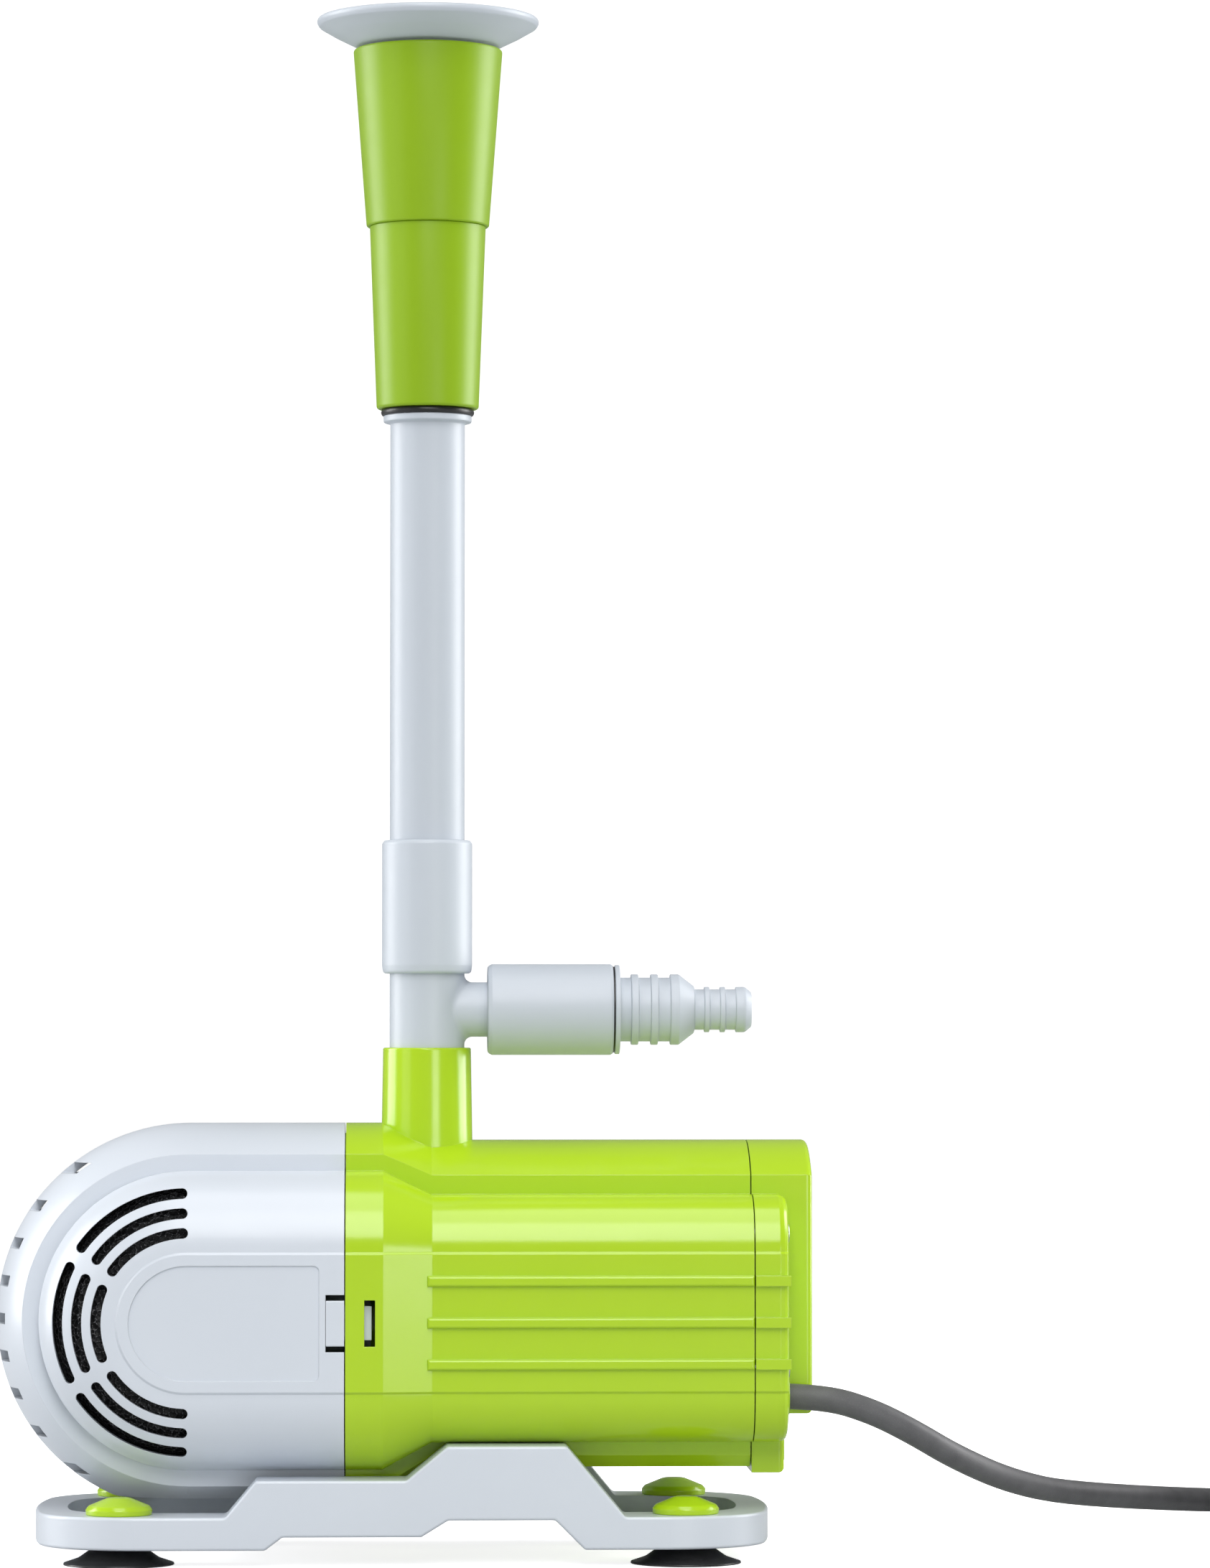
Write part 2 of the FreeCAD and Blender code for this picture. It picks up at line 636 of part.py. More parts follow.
def build_stator():
    """A U-shaped stack of laminations round the rotor can, with a coil on each leg."""
    inner, outer, high = 10.0, 27.0, 13.0
    legs = [box(f"leg_{n}", 19.0, y, size("axis_height") - high, 66.0, outer - inner, 2 * high)
            for n, y in enumerate((inner, -outer))]
    yoke = box("yoke", 78.0, -outer, size("axis_height") - high, 10.0, 2 * outer, 2 * high)
    hole = cylinder("pole_bore", size("can_radius") + 0.1, 45.0, 14.0, 0, size("axis_height"), ALONG_X)
    keep(cut("core", fuse("core_solid", [*legs, yoke]), hole), "stator_core")

    coils, bobbins = [], []
    for side in (-1, 1):
        centre = side * (inner + outer) / 2
        leg = slab(50, centre - 8.9, AXIS - 13.4, 80, centre + 8.9, AXIS + 13.4)
        wrap = slab(56.2, centre - 9.7, AXIS - 14.6, 75.8, centre + 9.7, AXIS + 14.6)
        winding = slab(56.2, centre - 16.5, AXIS - 22, 75.8, centre + 16.5, AXIS + 22)
        winding = softened(winding, 4.0, lambda e: is_level(e, "x"))
        flanges = [slab(x, centre - 17.2, AXIS - 23, x + 1.2, centre + 17.2, AXIS + 23)
                   for x in (55.0, 75.8)]
        coils.append(winding.cut(wrap))
        bobbins.append(wrap.fuse(flanges).cut(leg).removeSplitter())
    shaped("stator_coils", Part.makeCompound(coils))
    shaped("coil_bobbins", Part.makeCompound(bobbins))


# ---------------------------------------------------------------- base with suction feet
def draw_plan(body, name, half_x, half_y, bow_radius):
    """Two straight sides joined by two large arcs, centred on the origin."""
    sketch = add_sketch(body, name, "XY_Plane")
    reach, side, bow = float(half_x), float(half_y), float(bow_radius)
    corner = reach - bow + math.sqrt(bow * bow - side * side)
    for sign in (1, -1):
        sketch.addGeometry(Part.LineSegment(
            Vector(sign * corner, sign * side, 0), Vector(-sign * corner, sign * side, 0)), False)
        sketch.addGeometry(Part.Arc(
            Vector(-sign * corner, sign * side, 0), Vector(-sign * reach, 0, 0),
            Vector(-sign * corner, -sign * side, 0)), False)
    # a line ends at point 2; an arc, drawn anticlockwise, starts at 1, ends at 2 and has its centre at 3
    for line, arc, sign in ((0, 1, 1), (2, 3, -1)):
        other = 2 - line
        sketch.addConstraint(Sketcher.Constraint("Coincident", line, 2, arc, 1))
        sketch.addConstraint(Sketcher.Constraint("Coincident", arc, 2, other, 1))
        for kind, item, spot, length in (
                ("DistanceY", line, 1, half_y * sign), ("DistanceY", line, 2, half_y * sign),
                ("DistanceX", arc, 3, (bow_radius - half_x) * sign), ("DistanceY", arc, 3, dim(0))):
            index = sketch.addConstraint(Sketcher.Constraint(kind, -1, 1, item, spot, float(length)))
            sketch.setExpression(f"Constraints[{index}]", length.text)
        index = sketch.addConstraint(Sketcher.Constraint("Radius", arc, bow))
        sketch.setExpression(f"Constraints[{index}]", bow_radius.text)
    return sketch


def round_corners(body, tip, radius, half_y):
    """Rounds the vertical edges at y = half_y and y = -half_y."""
    fillet = body.newObject("PartDesign::Fillet", f"{tip.Name}_round")
    fillet.Base = (tip, [
        f"Edge{i}" for i, e in enumerate(tip.Shape.Edges, 1)
        if is_level(e, "z") and abs(abs(e.CenterOfMass.y) - float(half_y)) < 0.1])
    fillet.setExpression("Radius", radius.text)
    body.Tip = fillet
    doc.recompute()


def build_base_plan():
    """The base seen from above: an oval ring, tall enough for the side outline to trim."""
    body = doc.addObject("PartDesign::Body", "base_plan")
    half_x, half_y = size("base_half_length"), size("base_half_width")
    pad = body.newObject("PartDesign::Pad", "outer_pad")
    pad.Profile = draw_plan(body, "outer_plan", half_x, half_y, size("base_bow"))
    pad.Length = 60
    doc.recompute()
    round_corners(body, pad, size("base_corner"), half_y)
    pocket = body.newObject("PartDesign::Pocket", "opening")
    pocket.Profile = draw_plan(body, "inner_plan", half_x - size("end_bar"), size("rail_inner"),
                               size("opening_bow"))
    pocket.Length = 60
    pocket.Reversed = True
    body.Tip = pocket
    doc.recompute()
    round_corners(body, pocket, size("opening_corner"), size("rail_inner"))
    return body


def build_base():
    """A closed ring frame: low feet at both ends, and rails that rise to carry the pump."""
    body = build_base_plan()
    half_x = size("base_half_length")
    under, foot = size("base_under"), size("foot_top")
    side = doc.addObject("PartDesign::Body", "base_side")
    outline = add_sketch(side, "side_outline", "XZ_Plane")
    draw_polygon(outline, [
        (-half_x - 1, under), (-38.3, under), (-33.5, under + 3.6), (5.1, under + 3.6),
        (12.6, under + 8.2), (42.3, under + 8.2), (50.6, under), (half_x + 1, under),
        (half_x + 1, foot), (61.8, foot), (45.5, foot + 19.6), (12.4, foot + 19.6),
        (1.0, foot + 10.2), (-40.8, foot + 10.2), (-49.3, foot), (-half_x - 1, foot)])
    web = side.newObject("PartDesign::Pad", "side_web")
    web.Profile = outline
    web.Length = 120
    web.Midplane = True
    doc.recompute()
    knees = side.newObject("PartDesign::Fillet", "knees")
    knees.Base = (web, [f"Edge{i}" for i, e in enumerate(web.Shape.Edges, 1)
                        if is_level(e, "y") and abs(e.CenterOfMass.x) < 70])
    knees.Radius = 1.6
    side.Tip = knees
    doc.recompute()
    frame = body.Shape.common(side.Shape)
    frame = softened(frame, 0.8, outer_rim)
    saddle = slab(22, -33, 22, 36, 33, AXIS - number("motor_under"))
    studs = [rod(number("stud_radius") + 0.2, Vector(x, y, 0), Vector(x, y, 40)) for x, y in CUP_SPOTS]
    hollows = both_sides(slab(-32, 34.5, 0, 44, 48.5, 20).common(core_limit()))
    shaped("base_frame", frame.fuse(saddle).cut([*studs, *hollows]).removeSplitter())


def core_limit():
    """The side outline of the hollow under each rail, 2.5 mm inside its top."""
    spots = [(-32, 0), (-32, 21.5), (-0.2, 21.5), (13.2, 30.9), (43.5, 30.9), (43.5, 0)]
    points = [Vector(x, 0, z) for x, z in spots]
    return Part.Face(Part.makePolygon(points + points[:1])).extrude(Vector(0, 60, 0))


def outer_rim(edge):
    """The outer edges of the base, top and bottom, that a hand would touch."""
    half = number("base_half_width")
    box_of_edge = edge.BoundBox
    long_side = abs(abs(edge.CenterOfMass.y) - half) < 0.01 and box_of_edge.YLength < 0.01
    return long_side and edge.Length > 2


CUP_SPOTS = [(sx * number("cup_pitch_half"), sy * number("cup_row_half"))
             for sx in (-1, 1) for sy in (-1, 1)]


def build_feet():
    """Four suction cups, and the caps that hold their studs on top of the base."""
    spots = [(size("cup_pitch_half") * sx, size("cup_row_half") * sy) for sx in (-1, 1) for sy in (-1, 1)]
    rim, stud, cap = size("cup_radius"), size("stud_radius"), size("button_radius")
    under, foot = size("base_under"), size("foot_top")
    for index, (x, y) in enumerate(spots, 1):
        cup = turned(f"suction_cup_{index}", [
            (0, 2.9), (7.0, 2.5), (rim - 1.0, 0), (rim, 0), (rim, 0.5), (rim - 4.0, 1.9),
            (rim - 6.2, under), (stud, under), (stud, foot + 1.6), (0, foot + 1.6)],
            [(rim - 4.0, 1.9, 3.0)])
        keep(place(cup, x, y, 0), f"suction_cup_{index}")
        button = turned(f"cup_button_{index}", [
            (0, 4.9), (3.5, 4.8), (cap - 0.6, 2.5), (cap, 2.0), (cap, 0), (stud + 0.1, 0),
            (stud + 0.1, 1.8), (0, 1.8)],
            [(3.5, 4.8, 8.0), (cap - 0.6, 2.5, 0.6), (cap, 0, 0.4)])
        keep(place(button, x, y, foot), f"cup_button_{index}")


# ---------------------------------------------------------------- outlet column
def build_tee():
    """The tee: a pipe that plugs into the spigot, and a side branch with a flange for the regulator."""
    outer, riser, level = size("tube_radius"), size("riser_x"), size("branch_height")
    pipe = cylinder("tee_pipe_outer", outer, 63.0, riser, 0, 120.4)
    neck = cylinder("tee_neck", size("neck_radius"), 33.0, riser, 0, level, ALONG_X)
    body = fuse("tee_outer", [pipe, neck])
    doc.recompute()
    joints = [i for i, e in enumerate(body.Shape.Edges, 1)
              if not isinstance(e.Curve, (Part.Line, Part.Circle))
              and e.CenterOfMass.x > float(riser) + 5]
    saddle = doc.addObject("Part::Fillet", "tee_saddle")
    saddle.Base = body
    saddle.Edges = [(i, 2.2, 2.2) for i in joints]
    doc.recompute()
    flange = cylinder("tee_flange", 10.4, 2.4, size("sleeve_start") + 3.3, 0, level, ALONG_X)
    bore = cylinder("tee_bore", size("tube_bore"), 70.0, riser, 0, 118.0)
    branch = cylinder("tee_branch_bore", 6.2, 40.0, riser, 0, level, ALONG_X)
    keep(cut("tee", fuse("tee_full", [saddle, flange]), fuse("tee_bores", [bore, branch])), "tee_piece")


def build_regulator():
    """The turning sleeve on the side branch, and the stepped hose tail pushed into it."""
    start, length, outer = size("sleeve_start"), size("sleeve_length"), size("sleeve_radius")
    level, gap = size("branch_height"), size("running_gap")
    socket = size("tube_radius") + 0.15
    sleeve = turned("regulator_sleeve", [
        (size("neck_radius") + gap, 0), (outer, 0), (outer, length), (socket + gap, length),
        (socket + gap, 3.0), (size("neck_radius") + gap, 3.0)], [(outer, 0, 0.9), (outer, length, 0.4)])
    keep(place(sleeve, start, 0, level, ALONG_X), "regulator_sleeve")
    gasket = ring("tail_gasket", 11.1, 12.3, 0.0, 0.5)
    keep(place(gasket, start + length, 0, level, ALONG_X), "tail_gasket")

    # radius and distance from the flange face; ribs first on the 20 mm tail, then on the 13 mm tail
    large, small, crest, tip_crest = 9.25, 5.9, 10.1, 6.5
    outline = [(7.6, -16.0), (socket, -16.0), (socket, 0.0), (12.75, 0.0), (12.75, 1.4), (large, 1.4)]
    for rib in (4.6, 10.2):
        outline += [(large, rib), (crest, rib + 0.2), (crest, rib + 2.4), (large, rib + 2.6)]
    outline += [(large, 15.8), (crest, 16.0), (crest, 18.2), (6.6, 22.9), (small, 22.9)]
    for rib in (25.6, 30.1):
        outline += [(small, rib), (tip_crest, rib + 0.2), (tip_crest, rib + 1.8), (small, rib + 2.0)]
    outline += [(small, 34.6), (tip_crest, 34.8), (tip_crest, 36.9), (4.9, 39.2), (4.1, 39.2),
                (4.1, 22.0), (7.6, 17.0)]
    tail = turned("hose_tail", outline, [(12.75, 0.0, 0.3), (12.75, 1.4, 0.3), (4.9, 39.2, 0.35)])
    keep(place(tail, start + length + 0.5, 0, level, ALONG_X), "hose_tail")


def build_riser():
    riser, outer, bore = size("riser_x"), size("tube_radius"), size("tube_bore")
    low, length = size("coupler_low"), size("coupler_length")
    wall = size("coupler_radius")
    socket = outer + size("running_gap")
    coupler = turned("riser_coupler", [
        (socket, 0), (wall, 0), (wall, length), (socket, length), (socket, 20.0), (bore, 20.0),
        (bore, 18.3), (socket, 18.3)], [(wall, 0, 1.9), (wall, length, 0.8)])
    keep(place(coupler, riser, 0, low), "riser_coupler")
    collar, foot = size("collar_radius"), low + 20.1
    top = size("collar_top") - foot
    tube = turned("riser_tube", [
        (bore, 0), (outer, 0), (outer, top - 2.6), (collar, top - 1.9), (collar, top), (outer, top),
        (outer, top + 24.0), (bore, top + 24.0)], [(collar, top, 0.4), (collar, top - 1.9, 0.4)])
    keep(place(tube, riser, 0, foot), "riser_tube")
    seal = ring("nozzle_seal", outer + 0.02, size("seal_radius"), 0.0, size("seal_height"), 0.6)
    keep(place(seal, riser, 0, size("collar_top")), "nozzle_seal")


def build_nozzle():
    """Lower adapter, flared upper shell and the adjustable bell disc on its stem."""
    riser, low = size("riser_x"), size("nozzle_low")
    step, top = size("nozzle_step") - low, size("nozzle_top") - size("nozzle_step")
    socket = size("tube_radius") + size("running_gap")
    adapter = turned("nozzle_adapter", [
        (socket, 0), (14.65, 0), (16.65, step), (16.0, step), (16.0, step + 7.0), (14.0, step + 7.0),
        (12.6, 26.0), (socket, 26.0)], [(14.65, 0, 1.0)])
    keep(place(adapter, riser, 0, low), "nozzle_adapter")

    shell = turned("nozzle_shell_form", [
        (16.05, 0), (17.65, 0), (21.5, top), (19.6, top), (17.4, top - 12.0), (15.2, 9.0),
        (16.05, 7.4)], [(21.5, top, 1.0), (17.65, 0, 0.7)])
    place(shell, riser, 0, size("nozzle_step"))
    hub = cylinder("stem_hub", 5.2, 9.0, riser, 0, size("nozzle_step") + 14.0)
    ribs = []
    for index in range(3):
        angle = math.radians(120 * index)
        rib = box(f"stem_rib_{index}", 0, 0, 0, 17.0, 1.8, 7.0)
        place(rib, riser + 0.9 * math.sin(angle), -0.9 * math.cos(angle), size("nozzle_step") + 15.0,
              ((0, 0, 1), 120 * index))
        ribs.append(rib)
    guide = cylinder("stem_bore", size("stem_radius") + size("running_gap"), 20.0, riser, 0,
                     size("nozzle_step") + 10.0)
    keep(cut("shell", fuse("shell_solid", [shell, hub, *ribs]), guide), "nozzle_shell")

    disc, stem = size("disc_radius"), size("stem_radius")
    bell = turned("bell_disc", [
        (0, -38.0), (stem, -38.0), (stem, -14.0), (9.0, -9.0), (18.0, -0.6), (19.2, 0.5),
        (20.6, 1.0), (27.0, 4.2), (disc - 0.4, 6.8), (disc, 7.6), (disc - 0.2, 8.8), (disc - 1.6, 9.2),
        (24.0, 6.2), (14.0, 4.6), (6.0, 4.6), (5.0, 6.6), (0, 6.8)],
        [(stem, -38.0, 0.6)])
    keep(place(bell, riser, 0, size("nozzle_top")), "bell_disc")


# ---------------------------------------------------------------- cable
CABLE_ROUTE = [
    (105.5, -32.5, 46.2), (118.5, -32.5, 46.0), (131.9, -32.0, 41.9), (143.7, -29.9, 34.7),
    (156.1, -22.8, 27.4), (173.5, -4.8, 20.2), (195.3, 32.9, 13.7), (262.2, 138.6, 3.6),
    (295.1, 157.6, 3.6),
]
TAIL_ROUTE = [
    (325.0, 137.5, 33.0), (348.8, 135.4, 35.2), (368.9, 122.1, 38.9), (381.5, 100.5, 42.0),
    (382.2, 75.0, 47.5), (367.5, 52.5, 53.0), (345.0, 42.0, 55.0), (324.0, 42.0, 55.0),
]


def tube(label, route):
    """A round cable along straight runs joined by arcs as large as the runs allow."""
    points = [Vector(*p) for p in route]
    share = 0.45
    edges, start = [], points[0]
    for before, corner, after in zip(points, points[1:], points[2:]):
        come, go = corner - before, after - corner
        trim = share * min(come.Length, go.Length)
        entry = corner - come.normalize() * trim
        leave = corner + go.normalize() * trim
        half_turn = come.getAngle(go) / 2
        radius = trim / math.tan(half_turn)
        print(f"{label}: arc of {radius:.1f} mm at {tuple(round(c, 1) for c in corner)}")
        inward = ((entry + leave) * 0.5 - corner).normalize()
        middle = corner + inward * (radius / math.cos(half_turn) - radius)
        edges += [Part.LineSegment(start, entry).toShape(), Part.Arc(entry, middle, leave).toShape()]
        start = leave
    edges.append(Part.LineSegment(start, points[-1]).toShape())
    path = Part.Wire(edges)
    radius = number("cable_radius")
    section = Part.Wire(Part.makeCircle(radius, points[0], points[1] - points[0]))
    solid = path.makePipeShell([section], True, False)
    expected = math.pi * radius * radius * path.Length
    print(f"{label}: {path.Length:.1f} mm long, volume {solid.Volume / expected:.4f} of section x length")
    shaped(label, solid)


def build_cable():
    tube("cable_run", CABLE_ROUTE)
    tube("cable_tail", TAIL_ROUTE)
    middle = Vector(number("coil_x"), number("coil_y"), 0)
    outer, inner, height = (number(f"coil_{n}") for n in ("outer", "inner", "height"))
    coil = Part.makeCylinder(outer, height, middle).cut(Part.makeCylinder(inner, height, middle))
    coil = softened(coil, 3.4, lambda e: isinstance(e.Curve, Part.Circle))
    shaped("cable_coil", coil)
    exit_y, exit_z = size("cable_exit_y"), size("cable_exit_z")
    gland = ring("cable_gland", size("cable_radius"), size("cable_radius") + 1.2, 0.0, 7.0, 0.3)
    keep(place(gland, size("cap_rear") - 9.2, exit_y, exit_z, ALONG_X), "cable_gland")


def build_plug():
    """A moulded two-pin mains plug with its strain relief, lying on the coil."""
    radius, length = size("plug_radius"), size("plug_length")
    neck = size("cable_radius") + 1.6
    relief = 16.0
    plug = turned("mains_plug", [
        (0, 0), (neck, 0), (neck + 1.6, relief), (radius - 6.0, relief + 6.0), (radius, relief + 16.0),
        (radius, relief + length), (0, relief + length)],
        [(radius, relief + length, 1.0), (radius, relief + 16.0, 8.0)])
    end_x, end_y, end_z = TAIL_ROUTE[-1]
    keep(place(plug, end_x, end_y, end_z, ((0, 1, 0), -90)), "mains_plug")
    pins = []
    for side in (-1, 1):
        root = Vector(end_x - float(length) - relief, end_y + side * 9.5, end_z)
        pin = rod(2.4, root, root - Vector(19, 0, 0))
        pins.append(softened(pin, 1.2, lambda e: e.CenterOfMass.x < root.x - 18))
    shaped("plug_pins", Part.makeCompound(pins))


# ---------------------------------------------------------------- the whole assembly
def check_and_export():
    doc.recompute()
    for item in doc.Objects:
        if {"Invalid", "Error"} & set(item.State):
            raise RuntimeError(f"{item.Label} did not build: {item.State}")
    os.makedirs("parts", exist_ok=True)
    for item in finished:
        shape = item.Shape
        if shape.isNull() or not shape.isValid() or shape.Volume <= 0:
            raise RuntimeError(f"{item.Label} has no valid shape")
        shape.exportStep(os.path.join("parts", item.Label + ".step"))
        print(f"{item.Label}: {len(shape.Solids)} solid(s), {shape.Volume / 1000:.2f} cm3")


build_cage()
build_tabs()
build_foam()
build_housing()
build_rear_cap()
build_cap_screws()
build_hydraulics()
build_impeller()
build_stator()
build_base()
build_feet()
build_tee()
build_regulator()
build_riser()
build_nozzle()
build_cable()
build_plug()
check_and_export()
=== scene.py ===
"""Fountain submersible pump on a pale studio floor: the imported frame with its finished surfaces."""

import json
import math

import bmesh
import bpy
from mathutils import Matrix, Vector


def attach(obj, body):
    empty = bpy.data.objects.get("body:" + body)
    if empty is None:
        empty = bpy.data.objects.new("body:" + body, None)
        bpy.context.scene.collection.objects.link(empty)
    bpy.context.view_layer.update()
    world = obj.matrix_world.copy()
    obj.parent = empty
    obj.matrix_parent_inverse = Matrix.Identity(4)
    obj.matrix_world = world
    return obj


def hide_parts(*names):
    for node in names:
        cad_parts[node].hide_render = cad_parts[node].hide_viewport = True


MM = 0.001

# places in millimetres, as in the CAD model
RISER = 6.9                # x of the upright outlet column
BRANCH = 154.9             # height of the side branch
COUPLER_LOW = 165.2        # undersides of the pieces stacked on the tee
TUBE_LOW = 185.3
SEAL_LOW = 325.3
ADAPTER_LOW = 327.2
SHELL_LOW = 379.8
DISC_LOW = 430.9
SLEEVE_START = 24.2        # x where the branch's pieces begin
TAIL_START = 60.6
CUP_X, CUP_Y = 79.2, 37.7  # how far the suction cups are from the middle
BUTTON_LEVEL = 13.8        # where the buttons sit over the cups

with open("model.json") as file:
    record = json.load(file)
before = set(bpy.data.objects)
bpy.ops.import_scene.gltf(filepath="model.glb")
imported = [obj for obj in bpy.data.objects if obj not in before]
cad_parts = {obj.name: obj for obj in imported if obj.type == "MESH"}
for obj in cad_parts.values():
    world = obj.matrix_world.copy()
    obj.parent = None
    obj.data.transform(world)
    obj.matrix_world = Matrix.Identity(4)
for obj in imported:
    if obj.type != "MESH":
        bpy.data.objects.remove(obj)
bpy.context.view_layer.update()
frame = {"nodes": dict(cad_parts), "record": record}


# ---------------------------------------------------------------- mesh helpers, in millimetres
ARC_STEPS = 6


def rounded(corners):
    """An open outline through (u, v, radius) corners, with an arc at each corner that has a radius."""
    points = []
    for i, (u, v, radius) in enumerate(corners):
        here = Vector((u, v))
        if radius <= 0 or i in (0, len(corners) - 1):
            points.append(here)
            continue
        back = Vector(corners[i - 1][:2]) - here
        ahead = Vector(corners[i + 1][:2]) - here
        half = back.angle(ahead) / 2
        reach = min(radius / math.tan(half), back.length * 0.49, ahead.length * 0.49)
        radius = reach * math.tan(half)
        centre = here + (back.normalized() + ahead.normalized()).normalized() * (radius / math.sin(half))
        start, end = here + back.normalized() * reach, here + ahead.normalized() * reach
        first, last = start - centre, end - centre
        sweep = first.angle_signed(last)
        for k in range(ARC_STEPS + 1):
            turn = -sweep * k / ARC_STEPS
            arm = Vector((first.x * math.cos(turn) - first.y * math.sin(turn),
                          first.x * math.sin(turn) + first.y * math.cos(turn)))
            points.append(centre + arm)
    return points


def new_piece(name, verts, faces, sharp=30):
    """A mesh object from millimetre vertices, smooth except where faces turn by over sharp degrees."""
    mesh = bpy.data.meshes.new(name)
    mesh.from_pydata([[c * MM for c in v] for v in verts], [], faces)
    mesh.validate()
    piece = bpy.data.objects.new(name, mesh)
    bpy.context.scene.collection.objects.link(piece)
    tidy_shading(piece, sharp)
    return piece


def tidy_shading(piece, sharp=30):
    """Closes tiny gaps, points faces outwards and marks sharp edges."""
    form = bmesh.new()
    form.from_mesh(piece.data)
    bmesh.ops.remove_doubles(form, verts=form.verts, dist=1e-6)
    bmesh.ops.recalc_face_normals(form, faces=form.faces)
    form.to_mesh(piece.data)
    form.free()
    piece.data.polygons.foreach_set("use_smooth", [True] * len(piece.data.polygons))
    piece.data.set_sharp_from_angle(angle=math.radians(sharp))


UPRIGHT = Matrix.Identity(3)
ALONG_X = Matrix(((0, 0, 1), (0, 1, 0), (-1, 0, 0)))


def lathe(name, corners, at, stand=UPRIGHT, segments=112, closed=True, sharp=30):
    """A piece turned about its own axis from (radius, height, rounding) corners."""
    outline = rounded(corners)
    if closed:
        outline.append(outline[0])
    verts, rings = [], []
    for r, z in outline:
        if r < 1e-6:
            rings.append([len(verts)] * segments)
            verts.append(Vector(at) + stand @ Vector((0, 0, z)))
            continue
        rings.append(list(range(len(verts), len(verts) + segments)))
        for k in range(segments):
            angle = 2 * math.pi * k / segments
            verts.append(Vector(at) + stand @ Vector((r * math.cos(angle), r * math.sin(angle), z)))
    faces = []
    for low, high in zip(rings, rings[1:]):
        for k in range(segments):
            after = (k + 1) % segments
            corner = [low[k], low[after], high[after], high[k]]
            face = list(dict.fromkeys(corner))
            if len(face) > 2:
                faces.append(face)
    return new_piece(name, verts, faces, sharp)


def slab_piece(name, base, along, across, span, half, height):
    """A straight rib between two distances along its own direction."""
    verts = []
    for z in (0, height):
        for s, w in ((span[0], -half), (span[1], -half), (span[1], half), (span[0], half)):
            verts.append(base + along * s + across * w + Vector((0, 0, z)))
    faces = [(3, 2, 1, 0), (4, 5, 6, 7), (0, 1, 5, 4), (1, 2, 6, 5), (2, 3, 7, 6), (3, 0, 4, 7)]
    return new_piece(name, verts, faces)


def boolean(piece, tool, operation):
    """Cuts or joins another mesh into the piece, and removes the tool."""
    change = piece.modifiers.new(operation, "BOOLEAN")
    change.operation = operation
    change.solver = "EXACT"
    change.object = tool
    graph = bpy.context.evaluated_depsgraph_get()
    result = bpy.data.meshes.new_from_object(piece.evaluated_get(graph))
    piece.modifiers.clear()
    piece.data = result
    bpy.data.objects.remove(tool)
    return piece


def stand_for(piece, body, material, slot, *nodes):
    """Gives a piece its material, the body it moves with and the nodes it replaces."""
    piece.data.materials.clear()
    piece.data.materials.append(material)
    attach(piece, body)
    if nodes:
        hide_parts(*nodes)
    return piece


# ---------------------------------------------------------------- materials
def srgb(red, green, blue):
    """Linear colour from 0 to 255 screen values."""
    def linear(value):
        value /= 255
        return value / 12.92 if value <= 0.04045 else ((value + 0.055) / 1.055) ** 2.4
    return (linear(red), linear(green), linear(blue), 1.0)


